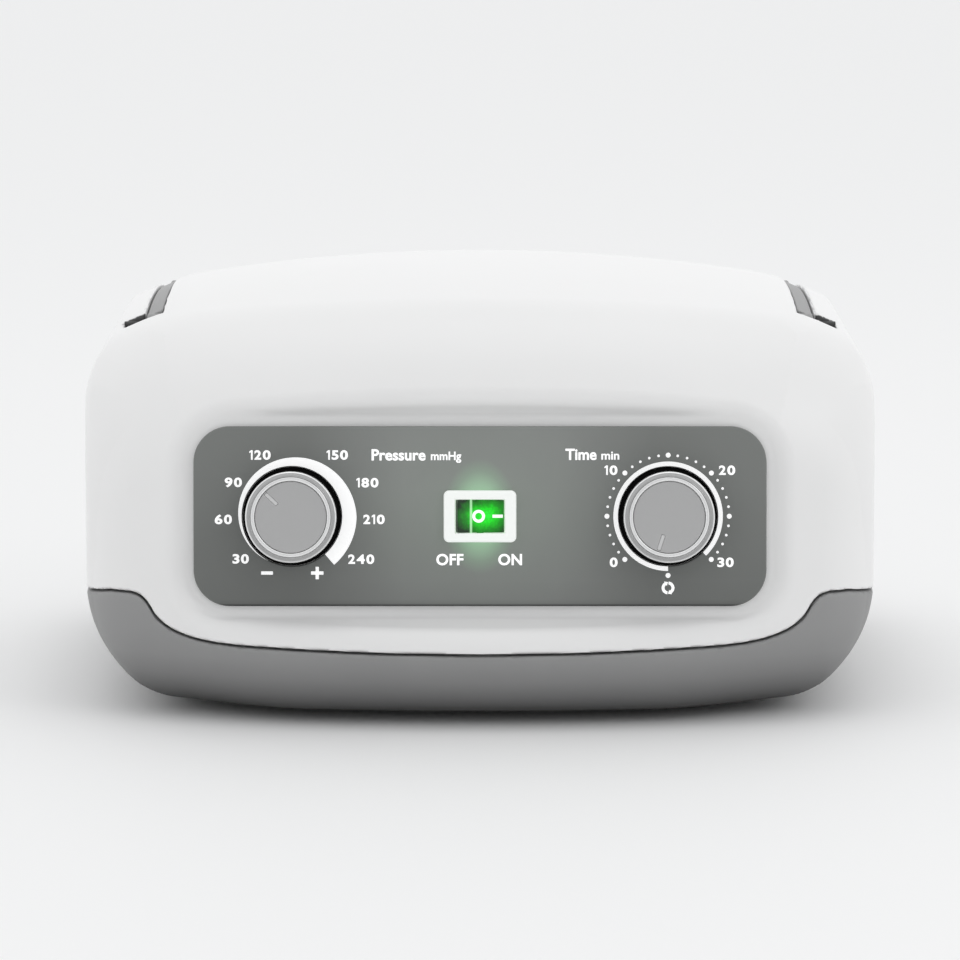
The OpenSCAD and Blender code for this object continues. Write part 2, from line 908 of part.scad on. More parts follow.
module pump_head(side) {
    color([0.22, 0.22, 0.24])
        translate([comp_x + side * 36.5, comp_y, comp_z])
            scale([side, 1, 1])
                difference() {
                    union() {
                        rotate([0, 90, 0])
                            cylinder(r = 24, h = 16);
                        translate([8, 0, 20])
                            cylinder(r = 2.4, h = 12);
                    }
                    translate([-1, 0, 0])
                        rotate([0, 90, 0])
                            cylinder(r = 19, h = 13);
                    translate([8, 0, 10])
                        cylinder(r = 1.3, h = 30);
                }
}

module pump_head_left() {
    pump_head(-1);
}

module pump_head_right() {
    pump_head(1);
}

// ---- Air distributor ----
dist_at = [58, 6];
gear_teeth = 36;
pinion_teeth = 12;
gear_module = 1;
gear_z = 29;
gear_t = 4;
mesh_distance = (gear_teeth + pinion_teeth) * gear_module / 2 + 0.1;
pinion_at = [dist_at.x, dist_at.y - mesh_distance];
pressure_angle = 20;

function involute(r, a) = [r * (cos(a) + a * PI / 180 * sin(a)), r * (sin(a) - a * PI / 180 * cos(a))];
function involute_angle(base, r) = sqrt(pow(r / base, 2) - 1) * 180 / PI;
function polar_angle(p) = atan2(p.y, p.x);
// One flank of a tooth, from root to tip, as radius and angle from the tooth's middle
function flank(teeth, play) =
    let (pitch = teeth * gear_module / 2,
         base = pitch * cos(pressure_angle),
         tip = pitch + gear_module,
         root = pitch - 1.25 * gear_module,
         half = 90 / teeth - play / pitch * 180 / PI,
         at_pitch = polar_angle(involute(base, involute_angle(base, pitch))))
    concat([[root, half + at_pitch]],
           [for (i = [0:4])
               let (r = max(base, root) + (tip - max(base, root)) * i / 4,
                    p = involute(base, involute_angle(base, r)))
               [r, half + at_pitch - polar_angle(p)]]);
module gear_shape(teeth, play) {
    side = flank(teeth, play);
    n = len(side);
    polygon([for (k = [0:teeth - 1]) for (i = [0:2 * n - 1])
        let (f = i < n ? side[i] : side[2 * n - 1 - i],
             a = 360 * k / teeth + (i < n ? -f[1] : f[1]))
        f[0] * [cos(a), sin(a)]]);
}

module distributor_body() {
    color([0.86, 0.86, 0.84])
        translate([dist_at.x, dist_at.y, 0])
            difference() {
                union() {
                    translate([0, 0, 39])
                        cylinder(r = 24, h = 14);
                    difference() {
                        translate([0, 0, 34.6])
                            cylinder(r = 24, h = 5);
                        translate([0, 0, 30])
                            cylinder(r = 17, h = 12);
                    }
                    for (a = [0, 75, 165])
                        rotate([0, 0, a])
                            translate([21.5, 0, tray_floor])
                                cylinder(r = 1.8, h = 30);
                    for (p = port_at)
                        rotate([0, 0, p[0]])
                            translate([20, 0, p[1]])
                                rotate([0, 90, 0])
                                    cylinder(r = 2.2, h = 14);
                    translate([0, 0, 52])
                        cylinder(r = 2.4, h = 9);
                }
                cylinder(r = 1.3, h = 70);
                for (p = port_at)
                    rotate([0, 0, p[0]])
                        translate([10, 0, p[1]])
                            rotate([0, 90, 0])
                                cylinder(r = 1.2, h = 30);
            }
}

// Angle and height of each port of the distributor
port_at = [for (z = [50, 43]) for (a = [50:22:116]) [a, z]];

module distributor_rotor() {
    color([0.90, 0.88, 0.80])
        translate([dist_at.x, dist_at.y, 0])
            union() {
                translate([0, 0, 35])
                    cylinder(r = 16, h = 3.95);
                translate([0, 0, 12])
                    cylinder(r = 3, h = 23.5);
            }
}

module distributor_gear() {
    color([0.95, 0.95, 0.93])
        translate([dist_at.x, dist_at.y, gear_z])
            difference() {
                linear_extrude(height = gear_t)
                    gear_shape(gear_teeth, 0.06);
                translate([0, 0, -1])
                    cylinder(r = 3, h = 8);
            }
}

module motor_pinion() {
    color(brass)
        translate([pinion_at.x, pinion_at.y, 0])
            union() {
                translate([0, 0, gear_z])
                    rotate([0, 0, 90 + 180 / pinion_teeth])
                        linear_extrude(height = gear_t)
                            gear_shape(pinion_teeth, 0.06);
                translate([0, 0, 24.05])
                    cylinder(r = 2, h = gear_z - 24);
            }
}

module valve_motor() {
    color(steel)
        translate([pinion_at.x, pinion_at.y, tray_floor])
            difference() {
                cylinder(r = 17, h = 20.5);
                translate([0, 0, 18.5])
                    cylinder(r = 2.05, h = 5);
            }
}

// ---- Air outlets and hoses ----
nozzle_xs = [59, 46, 33, 20];
nozzle_at = [for (v = [9, -9]) for (x = nozzle_xs) [x, v]];
nozzle_tip = 95.9;
module outlet_nozzles() {
    color([0.88, 0.88, 0.86])
        for (p = nozzle_at)
            on_rear(p.x, p.y, 0)
                difference() {
                    rotate_extrude()
                        polygon([[0, 74], [2.4, 74], [2.4, 84], [4.9, 84], [4.9, 87.5], [3.9, 87.5],
                                 [3.9, rear_plate_y], [3, rear_plate_y], [3, nozzle_tip],
                                 [0, nozzle_tip]]);
                    translate([0, 0, 70])
                        cylinder(r = 1.5, h = 30);
                }
}

function bezier(p, t) =
    pow(1 - t, 3) * p[0] + 3 * t * pow(1 - t, 2) * p[1] + 3 * t * t * (1 - t) * p[2] + pow(t, 3) * p[3];

function unit(v) = v / norm(v);
function tangent(path, i) =
    unit(path[min(i + 1, len(path) - 1)] - path[max(i - 1, 0)]);
function side_of(t) = abs(t.z) < 0.9 ? unit(cross(t, [0, 0, 1])) : unit(cross(t, [1, 0, 0]));
// Side vector carried along the path, kept square to it
function carried(path, i) =
    i == 0 ? side_of(tangent(path, 0))
    : let (s = carried(path, i - 1), t = tangent(path, i)) unit(s - (s * t) * t);

// Curve from p to q, leaving p along dp and reaching q against dq, with a straight start and end
function hose_path(p, dp, q, dq, n) =
    let (a = p + 2 * unit(dp), b = q + 2 * unit(dq))
    concat([p], [for (k = [0:n]) bezier([a, a + dp, b + dq, b], k / n)], [q]);

// Round tube swept along a path
module tube(path, r, sides) {
    n = len(path);
    pts = [for (i = [0:n - 1])
        let (t = tangent(path, i), s = carried(path, i), u = cross(t, s))
        for (k = [0:sides - 1])
            path[i] + r * (cos(360 * k / sides) * s + sin(360 * k / sides) * u)];
    walls = [for (i = [0:n - 2]) for (k = [0:sides - 1])
        let (a = i * sides + k, b = i * sides + (k + 1) % sides)
        each [[a, a + sides, b], [b, a + sides, b + sides]]];
    start = [[for (k = [0:sides - 1]) k]];
    end = [[for (k = [sides - 1:-1:0]) (n - 1) * sides + k]];
    polyhedron(points = pts, faces = concat(walls, start, end));
}

hose_r = 2.3;
module outlet_hoses() {
    color([0.90, 0.90, 0.86])
        for (i = [0:len(port_at) - 1]) {
            a = port_at[i][0];
            out = [cos(a), sin(a), 0];
            from = [dist_at.x, dist_at.y, port_at[i][1]] + 34 * out;
            to = [nozzle_at[i].x, 74, rear_z + nozzle_at[i].y];
            tube(hose_path(from, 10 * out, to, [0, -8, 0], 10), hose_r, 8);
        }
}

module supply_hoses() {
    left = [comp_x - 44.5, comp_y, comp_z + 32];
    reg = [-dial_x, floor_y + 26 * cos(front_lean), panel_z - 26 * sin(front_lean)];
    dist = [dist_at.x, dist_at.y, 61];
    reg_in = reg + [-22, 0, 0];
    reg_out = reg + [22, 0, 0];
    color([0.90, 0.90, 0.86]) {
        tube(hose_path(left, [0, 0, 20], reg_in, [-22, 0, 0], 10), hose_r, 8);
        tube(hose_path(reg_out, [28, 0, 0], dist, [0, 0, 32], 12), hose_r, 8);
    }
}

// ---- Power side ----
inlet_x = -46;
pin_at = [[-7, -2], [7, -2], [0, 3]];
fuse_x = -4;
fuse_vs = [9, -9];
module power_inlet() {
    color(dark)
        on_rear(inlet_x, 0, 0)
            difference() {
                union() {
                    translate([0, 0, rear_plate_y])
                        rounded_plate(48, 24, 3, 2.5);
                    translate([-13.8, -10, 72])
                        cube([27.6, 20, rear_plate_y - 72]);
                }
                translate([-12.2, -8.2, 75])
                    cube([24.4, 16.4, 30]);
                for (p = pin_at)
                    translate([p.x - 1, p.y - 2, 60])
                        cube([2, 4, 20]);
            }
}

module inlet_pins() {
    color(brass)
        for (p = pin_at)
            on_rear(inlet_x, 0, 0)
                translate([p.x - 1, p.y - 2, 66])
                    cube([2, 4, 20]);
}

module fuse_holders() {
    color(dark)
        for (v = fuse_vs)
            on_rear(fuse_x, v, 0)
                difference() {
                    rotate_extrude()
                        polygon([[0, 66], [5.5, 66], [5.5, rear_plate_y], [7.5, rear_plate_y],
                                 [7.5, 92], [6.5, 94.5], [0, 94.5]]);
                    translate([-4, -0.6, 93.5])
                        cube([8, 1.2, 4]);
                }
}

module terminal_block() {
    color([0.90, 0.88, 0.80])
        translate([-4, -30, tray_floor])
            difference() {
                cube([44, 16, 12]);
                for (i = [0:4])
                    translate([4.4 + i * 8.8, 8, 6])
                        cylinder(r = 2.4, h = 10);
            }
}

upper_shell();
lower_tray();
rear_plate();
rating_plate();
rubber_feet();
housing_screws();
filter_cover();
filter_felt();
front_panel();
seal_washers();
pressure_knob();
pressure_knob_cap();
time_knob();
time_knob_cap();
shaft_nuts();
switch_frame();
switch_rocker();
switch_lamp();
switch_terminals();
regulator_body();
regulator_shaft();
regulator_plunger();
regulator_spring();
timer_case();
timer_shaft();
timer_cam();
timer_terminals();
handle_arm_left();
handle_arm_right();
handle_bar();
handle_grip();
handle_pins();
compressor_mounts();
compressor_plate();
compressor_frame();
compressor_cores();
compressor_coils();
compressor_armature();
compressor_magnets();
diaphragms();
pump_head_left();
pump_head_right();
distributor_body();
distributor_rotor();
distributor_gear();
motor_pinion();
valve_motor();
outlet_nozzles();
outlet_hoses();
supply_hoses();
power_inlet();
inlet_pins();
fuse_holders();
terminal_block();
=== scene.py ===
import math

import bmesh
import bpy
import numpy as np
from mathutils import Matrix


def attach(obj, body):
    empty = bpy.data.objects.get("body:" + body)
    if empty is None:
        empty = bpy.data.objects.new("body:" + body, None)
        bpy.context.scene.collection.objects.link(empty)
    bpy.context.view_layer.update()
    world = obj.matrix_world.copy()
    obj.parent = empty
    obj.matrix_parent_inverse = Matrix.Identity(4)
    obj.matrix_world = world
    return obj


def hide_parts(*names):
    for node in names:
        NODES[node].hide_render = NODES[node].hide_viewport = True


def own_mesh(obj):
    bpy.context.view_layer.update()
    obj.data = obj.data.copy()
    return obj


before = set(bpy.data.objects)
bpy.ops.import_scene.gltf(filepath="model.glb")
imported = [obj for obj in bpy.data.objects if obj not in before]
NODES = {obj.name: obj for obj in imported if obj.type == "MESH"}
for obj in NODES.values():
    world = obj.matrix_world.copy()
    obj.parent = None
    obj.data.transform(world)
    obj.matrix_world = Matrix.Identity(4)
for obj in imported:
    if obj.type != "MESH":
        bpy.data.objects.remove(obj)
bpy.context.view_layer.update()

import openvdb
from mathutils import Matrix, Vector

# Shapes are worked out in millimetres in the row frame and written in metres.
MM = 0.001
ROOT = "housing"

# ---- Housing shape: the part's own numbers, with a wider seam and a softer edge of the pocket ----
BODY_W, BODY_D, BODY_H, FOOT_H = 234.0, 190.0, 125.2, 2.5
FRONT_LEAN, FRONT_BOW = math.radians(8), 420.0
REAR_LEAN, REAR_BOW = math.radians(3), 900.0
SIDE_BOW, CROWN_SIDE_R = 1200.0, 550.0
CROWN_Y, CROWN_R = 8.5, 314.0
FRONT_EDGE_R, REAR_EDGE_R = 32.0, 16.0
# Shoulder and side facets: normal across, normal up, distance from the axis
SHOULDER = (0.4035, 0.9150, BODY_H + 19.8)
CHAMFER = (0.8740, 0.4870, BODY_H + 22.8)
# Hood and tray each stay SEAM_GAP clear of the seam line; the tray's lip closes the seam from inside
SEAM_MID_Z, SEAM_GAP, SEAM_EDGE = 22.0, 0.38, 0.45
WALL, LIP_PLAY, LIP_DEPTH, LIP_TOP, LIP_FOOT = 3.0, 0.25, 1.6, 2.2, 3.5
POSTS, POST_R, SCREW_R, SCREW_HEAD_R = [(-88, -50), (88, -50), (-88, 64), (88, 64)], 5, 1.9, 3.5
FEET = [(-70, -50), (70, -50), (-62, 60), (62, 60)]
FILTER_AT, VENT_AT, DIST_AT = (-36, -42), (30, -44), (58, 6)
REAR_Z = 56.0
# Control panel: plate, pocket, dials and switch
PANEL_W, PANEL_H, PANEL_R, PANEL_Z, PANEL_T = 165.5, 52.0, 10.5, 60.0, 2.0
POCKET_DEPTH, POCKET_EASE, POCKET_FLARE, POCKET_SHEAR, POCKET_EDGE = 9, 3.2, 0.5, 0.07, 4.5
FLOOR_Y = -BODY_D / 2 + (PANEL_Z - SEAM_MID_Z) * math.tan(FRONT_LEAN) + POCKET_DEPTH + PANEL_T
DIAL_X, WELL_R, BUSH_R = 54.3, 14.4, 4.6
KNOB_R, CAP_R, SHAFT_R = 13.1, 10.35, 3.0
FACE_H, FACE_SEAT_H, RIM_H = 11.2, 10.3, 11.6
POINTER_MID, CHANNEL_W, CHANNEL_L, CHANNEL_H, POINTER_H = 7.6, 1.1, 4.6, 10.85, 10.8
PRESSURE_AT, TIME_AT = -47.0, -162.0
OPENING_W, OPENING_H, BACK_W, BACK_H = 19.4, 13.2, 19.2, 13.0
BEZEL_W, BEZEL_H, BEZEL_TOP, WINDOW_W, WINDOW_H = 21.0, 15.0, 3.8, 14.4, 9.7
# Rocker, seen from the side and measured from its axle: high end, fold and low end of its top
AXLE_H, HIGH_X, HIGH_H, FOLD_X, FOLD_H, LOW_X, LOW_H = 1.0, -6.4, 2.9, -2.6, 1.1, 7.0, 0.3
RISE, FALL = (HIGH_H - FOLD_H) / (HIGH_X - FOLD_X), (LOW_H - FOLD_H) / (LOW_X - FOLD_X)
# Handle, and the grooves, slots and rest that it lies in
ARM_X, ARM_W, PIVOT_Y, BAR_Y = 97.0, 4.8, -28.0, 76.0
ARM_PLAY, PIN_R, EYE_R, BAR_R, GRIP_R = 0.35, 2.05, 4.4, 4.0, 7.0
REST_X, REST_Y, REST_Z, SCOOP_X, SCOOP_Z = 101.4, 67.5, 94.5, 42, 84
SLOT_X, SLOT_FRONT, SLOT_BACK, SLOT_LOW = 105.6, 6, 1.4, 6.5
ARC_Z = BODY_H - CROWN_R
ARM_HIGH = (SHOULDER[2] - SHOULDER[0] * (ARM_X - ARM_W / 2)) / SHOULDER[1] - ARC_Z - 1
ARM_MID = ARM_HIGH - 5.5
ARM_LOW = ARM_MID - 5.2


def arc_height(y):
    return ARC_Z + ARM_MID * math.cos(math.asin((CROWN_Y - y) / ARM_MID))


PIVOT_Z, BAR_Z = arc_height(PIVOT_Y), arc_height(BAR_Y)


def blend(a, b, r):
    """Rounded meeting of two fields that are negative inside."""
    return np.minimum(np.maximum(a, b), -r) + np.hypot(np.maximum(a + r, 0), np.maximum(b + r, 0))


def join(a, b, r):
    """Rounded union of two fields."""
    return -blend(-a, -b, r)


def clamp01(t):
    return np.clip(t, 0, 1)


def dome_drop(y):
    return (y - CROWN_Y) ** 2 / (2 * CROWN_R)


def body_field(x, y, z):
    """The whole body's outer skin, before pocket, grooves and seam."""
    front = -BODY_D / 2 - y + (z - SEAM_MID_Z) * math.tan(FRONT_LEAN) + x * x / (2 * FRONT_BOW)
    rear = y - BODY_D / 2 + (z - SEAM_MID_Z) * math.tan(REAR_LEAN) + x * x / (2 * REAR_BOW)
    side = np.abs(x) - BODY_W / 2 + y * y / (2 * SIDE_BOW)
    top = z + dome_drop(y) - BODY_H + x * x / (2 * CROWN_SIDE_R)
    shoulder = SHOULDER[0] * np.abs(x) + SHOULDER[1] * (z + dome_drop(y)) - SHOULDER[2]
    chamfer = CHAMFER[0] * np.abs(x) + CHAMFER[1] * z - CHAMFER[2]
    upper = blend(top, shoulder, 2.0)
    flank = blend(side, chamfer, 3.0)
    corner = 1 + 14 * clamp01((np.abs(y) - 46) / 24)
    ends = blend(rear, blend(front, upper, FRONT_EDGE_R), REAR_EDGE_R)
    hood = blend(ends, flank, corner)
    t = clamp01((np.abs(x) - 50) / 60)
    edge = 20 + 16 * t * t * (3 - 2 * t)
    return blend(hood, FOOT_H - z, edge)


# Seam line: distance from the middle and height, read along the front
SEAM_PTS = [(0, 22.0), (30, 22.3), (52, 22.9), (70, 23.6), (77, 24.2), (82.3, 25.1), (86, 26.2),
            (88.5, 27.2), (91, 28.6), (93, 30.2), (94.6, 32.1), (95.4, 33.6), (96.2, 34.9), (97.2, 36.1),
            (98.4, 37.0), (99.8, 37.6), (101.4, 37.9), (107, 37.8), (114, 36.2), (118, 35.2), (140, 35.2)]
# Its corners are eased by a sliding mean over a few samples of 0.1 mm
SEAM_STEPS, SEAM_EASE = 1400, 12
SEAM_AT = np.linspace(0, 140, SEAM_STEPS + 1)
SEAM_RAW = np.interp(np.abs(np.arange(-SEAM_EASE, SEAM_STEPS + SEAM_EASE + 1) * 0.1), *zip(*SEAM_PTS))
SEAM_SMOOTH = np.convolve(SEAM_RAW, np.hanning(2 * SEAM_EASE + 3)[1:-1] / (SEAM_EASE + 1), "valid")


def seam_z(x):
    return np.interp(np.abs(x), SEAM_AT, SEAM_SMOOTH)


def seam_field(x, z):
    """Height above the seam line, eased by the line's own slope."""
    slope = (seam_z(x + 0.5) - seam_z(x - 0.5))
    return (z - seam_z(x)) / np.sqrt(1 + slope * slope)


def box_field(x, y, z, lo, hi):
    dx = np.abs(x - (lo[0] + hi[0]) / 2) - (hi[0] - lo[0]) / 2
    dy = np.abs(y - (lo[1] + hi[1]) / 2) - (hi[1] - lo[1]) / 2
    dz = np.abs(z - (lo[2] + hi[2]) / 2) - (hi[2] - lo[2]) / 2
    outside = np.sqrt(np.maximum(dx, 0) ** 2 + np.maximum(dy, 0) ** 2 + np.maximum(dz, 0) ** 2)
    return outside + np.minimum(np.maximum(np.maximum(dx, dy), dz), 0)


COS_L, SIN_L = math.cos(FRONT_LEAN), math.sin(FRONT_LEAN)


def panel_coords(y, z):
    """(up the panel, out of the panel) of a point, from the middle of the pocket's floor."""
    v = (y - FLOOR_Y) * SIN_L + (z - PANEL_Z) * COS_L
    h = -(y - FLOOR_Y) * COS_L + (z - PANEL_Z) * SIN_L
    return v, h


def rect_field(x, v, w, h, r):
    qx = np.abs(x) - (w / 2 - r)
    qv = np.abs(v) - (h / 2 - r)
    return np.hypot(np.maximum(qx, 0), np.maximum(qv, 0)) + np.minimum(np.maximum(qx, qv), 0) - r


def pocket_field(x, y, z, t, soft):
    """The sunk panel's pocket, grown by t; its walls flare towards the front."""
    v, h = panel_coords(y, z)
    lift = POCKET_EASE + t + POCKET_FLARE * np.maximum(h + t, -3)
    side = rect_field(x, v - POCKET_SHEAR * h, PANEL_W, PANEL_H, PANEL_R) - lift
    return blend(side / math.hypot(1, POCKET_FLARE), -h - t, soft)


def groove_field(x, y, z, t):
    """The grooves that the handle's arms lie in, grown by t."""
    far = np.hypot(y - CROWN_Y, z - ARC_Z)
    across = np.abs(np.abs(x) - ARM_X) - ARM_W / 2 - ARM_PLAY - t
    return np.maximum(np.maximum(across, ARM_LOW - 0.6 - t - far), PIVOT_Y - 6 - t - y)


def rest_field(x, y, z, t):
    """The step at the rear that the grip lies on, with the finger scoop below it, grown by t."""
    behind = REST_Y - t - y
    wide = np.maximum(np.maximum(np.abs(x) - REST_X - t, behind), REST_Z - t - z)
    scoop = np.maximum(np.maximum(np.abs(x) - SCOOP_X - t, behind), SCOOP_Z - t - z)
    # Blended with itself, the field grows faster outside, which keeps the rim's rounding tight
    return np.minimum(blend(wide, wide, 0.01), scoop)


def pillar(x, y, at, r):
    """Upright cylinder field."""
    return np.hypot(x - at[0], y - at[1]) - r


def rear_box(x, y, z, half_x, y_from, half_z, y_to=120):
    """Box behind y_from, level with the connector plate."""
    return box_field(x, y, z, (-half_x, y_from, REAR_Z - half_z), (half_x, y_to, REAR_Z + half_z))


def hood_field(x, y, z):
    ax = np.abs(x)
    outer = body_field(x, y, z)
    shell = blend(outer, -pocket_field(x, y, z, 0, 1.2), POCKET_EDGE)
    shell = blend(shell, -groove_field(x, y, z, 0), 0.55)
    shell = blend(shell, -rest_field(x, y, z, 0), 1.2)
    slot = box_field(ax, y, z, (ARM_X, PIVOT_Y - SLOT_FRONT, PIVOT_Z - SLOT_LOW),
                     (SLOT_X, PIVOT_Y + SLOT_BACK, PIVOT_Z + 40))
    shell = blend(shell, -slot, 0.5)
    # Inside, with the material behind the pocket, the grooves, the rest, the pins and the rear plate
    inside = outer + WALL
    inside = np.maximum(inside, -pocket_field(x, y, z, 2.6, 0.3))
    inside = np.maximum(inside, -groove_field(x, y, z, 2))
    inside = np.maximum(inside, -rest_field(x, y, z, 2.5))
    pin_block = box_field(ax, y, z, (88, PIVOT_Y - 8.5, PIVOT_Z - 10.5), (108, PIVOT_Y + 8.5, PIVOT_Z + 5.5))
    inside = np.maximum(inside, -pin_block)
    inside = np.maximum(inside, -rear_box(x, y, z, 77, 85, 25, 110))
    for at in POSTS:
        inside = np.maximum(inside, -np.maximum(pillar(x, y, at, POST_R), z - 52))
    shell = np.maximum(shell, -inside)
    shell = blend(shell, SEAM_GAP - seam_field(x, z), SEAM_EDGE)
    # Openings for the dials' bushes, the switch and the connector plate
    v, h = panel_coords(y, z)
    shell = np.maximum(shell, -np.maximum(np.hypot(ax - DIAL_X, v) - BUSH_R, np.abs(h) - 8))
    opening = np.maximum(ax - OPENING_W / 2, np.abs(v) - OPENING_H / 2)
    shell = np.maximum(shell, -np.maximum(opening, np.abs(h) - 8))
    shell = np.maximum(shell, -rear_box(x, y, z, 74.2, 87.5, 22.2))
    return np.maximum(shell, -rear_box(x, y, z, 70, 70, 17))


def tray_field(x, y, z):
    outer = body_field(x, y, z)
    above = seam_field(x, z)
    shell = blend(outer, above + SEAM_GAP, SEAM_EDGE)
    shell = np.maximum(shell, -(outer + WALL))
    # Lip inside the hood, and its foot inside the tray
    inner = -(outer + WALL + LIP_DEPTH)
    low = -LIP_FOOT - above
    lip = np.maximum(np.maximum(outer + WALL + LIP_PLAY, inner), np.maximum(above - LIP_TOP, low))
    foot = np.maximum(np.maximum(outer + WALL - 0.5, inner), np.maximum(above + 0.3, low))
    shell = np.minimum(shell, np.minimum(lip, foot))
    for at in POSTS:
        post = np.maximum(pillar(x, y, at, POST_R), np.maximum(above + 0.3, outer + 1))
        shell = np.minimum(shell, post)
        hole = np.minimum(pillar(x, y, at, SCREW_R), np.maximum(pillar(x, y, at, SCREW_HEAD_R), z - 9.5))
        shell = np.maximum(shell, -hole)
    for at in FEET:
        shell = np.maximum(shell, -np.maximum(pillar(x, y, at, 2.9), z - 12))
    motor_post = np.maximum(pillar(x, y, DIST_AT, 6), np.maximum(z - 26, 4 - z))
    shell = np.minimum(shell, motor_post)
    shell = np.maximum(shell, -np.maximum(pillar(x, y, DIST_AT, 3.05), 10 - z))
    shell = np.maximum(shell, -np.maximum(pillar(x, y, FILTER_AT, 12), z - 11))
    for i in range(-3, 4):
        vent = rect_field(x - VENT_AT[0] - i * 6, y - VENT_AT[1], 2.4, 24, 1.19)
        shell = blend(shell, -np.maximum(vent, z - 11), 0.4)
    return shell


def gradient(field, p):
    """Slope of a field at the points p, by central differences."""
    e = 0.05
    g = np.empty_like(p)
    for i in range(3):
        a, b = p.copy(), p.copy()
        a[:, i] += e
        b[:, i] -= e
        g[:, i] = (field(*a.T) - field(*b.T)) / (2 * e)
    return g


def surface(field, lo, hi, step, lift=None):
    """Vertices (mm), faces and normals of the field's zero surface.
    lift(x, z) bends the sampling grid along a line."""
    step = np.array(step, float) if np.ndim(step) else np.full(3, float(step))
    n = [int(math.ceil((hi[i] - lo[i]) / step[i])) + 1 for i in range(3)]
    xs, ys, zs = (lo[i] + step[i] * np.arange(n[i]) for i in range(3))
    values = np.empty(n, np.float32)
    for k in range(0, n[2], 12):
        z = np.broadcast_to(zs[None, None, k:k + 12], (n[0], 1, len(zs[k:k + 12])))
        if lift:
            z = lift(xs[:, None, None], z)
        values[:, :, k:k + 12] = field(xs[:, None, None], ys[None, :, None], z)
    grid = openvdb.FloatGrid(3.0)
    grid.copyFromArray(np.clip(values / float(step.max()), -3, 3).astype(np.float32))
    points, tris, quads = grid.convertToPolygons(0.0, 0.0)
    p = np.array(lo) + points.astype(float) * step
    if lift:
        p[:, 2] = lift(p[:, 0], p[:, 2])
    for _ in range(3):
        g = gradient(field, p)
        move = field(*p.T)[:, None] * g / np.maximum((g * g).sum(1)[:, None], 0.05)
        length = np.linalg.norm(move, axis=1)[:, None]
        p -= move * np.minimum(1, 0.45 * step.min() / np.maximum(length, 1e-9))
    g = gradient(field, p)
    normals = g / np.maximum(np.linalg.norm(g, axis=1)[:, None], 1e-9)
    faces = [tuple(int(i) for i in f) for f in tris] + [tuple(int(i) for i in f) for f in quads]
    return p, faces, normals


def new_object(name, verts, faces, material, matrix=None, normals=None, smooth=True, sharp=None):
    """A mesh object from vertices in millimetres; a sample of its faces tells which way the normals go."""
    me = bpy.data.meshes.new(name)
    me.from_pydata((np.asarray(verts) * MM).tolist(), [], faces)
    me.validate()
    me.materials.append(material)
    if smooth:
        me.polygons.foreach_set("use_smooth", np.ones(len(me.polygons), bool))
    if normals is not None:
        volume = 0.0
        co = np.asarray(verts)
        for fc in faces[:: max(1, len(faces) // 4000)]:
            a, b, c = co[fc[0]], co[fc[1]], co[fc[2]]
            volume += float(np.dot(np.cross(b - a, c - a), normals[fc[0]]))
        if volume < 0:
            me.flip_normals()
        me.normals_split_custom_set_from_vertices(normals.tolist())
    elif sharp:
        me.set_sharp_from_angle(angle=math.radians(sharp))
    ob = bpy.data.objects.new(name, me)
    bpy.context.scene.collection.objects.link(ob)
    if matrix is not None:
        ob.matrix_world = matrix
    return ob


def field_piece(name, body, cad, material, field, lo, hi, step, matrix=None, lift=None):
    """A piece meshed from a field, in the row frame or in the frame that matrix gives."""
    p, faces, normals = surface(field, lo, hi, step, lift=lift)
    ob = new_object(name, p, faces, material, matrix, normals)
    finish_piece(ob, body, cad)


def finish_piece(ob, body, cad):
    """The piece's body, the CAD node that it stands for, if any."""
    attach(ob, body)
    if cad:
        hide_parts(cad)


def panel_matrix(x=0.0, v=0.0, h=0.0):
    """Row frame placing of the panel's own axes: X right, Y up the panel, Z out of it."""
    up, out = Vector((0, SIN_L, COS_L)), Vector((0, -COS_L, SIN_L))
    at = Vector((x, FLOOR_Y, PANEL_Z)) + up * v + out * h
    m = Matrix.Identity(4)
    for i in range(3):
        m[i][0], m[i][1], m[i][2], m[i][3] = (1, 0, 0)[i], up[i], out[i], at[i] * MM
    return m


def rounded_profile(points, radii):
    """A polyline with its corners rounded."""
    steps = 5
    out = []
    n = len(points)
    for i, (p, r) in enumerate(zip(points, radii)):
        p = np.array(p, float)
        if r <= 0 or i in (0, n - 1):
            out.append(p)
            continue
        a = np.array(points[i - 1], float) - p
        b = np.array(points[i + 1], float) - p
        la, lb = np.linalg.norm(a), np.linalg.norm(b)
        a, b = a / la, b / lb
        half = math.acos(max(-1, min(1, float(a @ b)))) / 2
        cut = min(r / math.tan(half), 0.49 * la, 0.49 * lb)
        r = cut * math.tan(half)
        mid = (a + b) / np.linalg.norm(a + b)
        centre = p + mid * (r / math.sin(half))
        s, e = p + a * cut - centre, p + b * cut - centre
        ang = math.atan2(s[0] * e[1] - s[1] * e[0], s @ e)
        for k in range(steps + 1):
            t = ang * k / steps
            turn = np.array([[math.cos(t), -math.sin(t)], [math.sin(t), math.cos(t)]])
            out.append(centre + turn @ s)
    return out


def lathe(name, profile, material, matrix, around):
    """A turned piece from (radius, height) points, closed on the axis where the radius is zero."""
    verts, rows = [], []
    for r, h in profile:
        if r < 1e-6:
            rows.append([len(verts)])
            verts.append((0, 0, h))
        else:
            rows.append(list(range(len(verts), len(verts) + around)))
            verts += [(x, y, h) for x, y in circle(r, n=around)]
    faces = []
    for a, b in zip(rows, rows[1:]):
        for k in range(around):
            l = (k + 1) % around
            if len(a) == 1 and len(b) == 1:
                continue
            if len(a) == 1:
                faces.append((a[0], b[l], b[k]))
            elif len(b) == 1:
                faces.append((a[k], a[l], b[0]))
            else:
                faces.append((a[k], a[l], b[l], b[k]))
    ob = new_object(name, verts, faces, material, matrix, sharp=35)
    fix_outward(ob)
    return ob


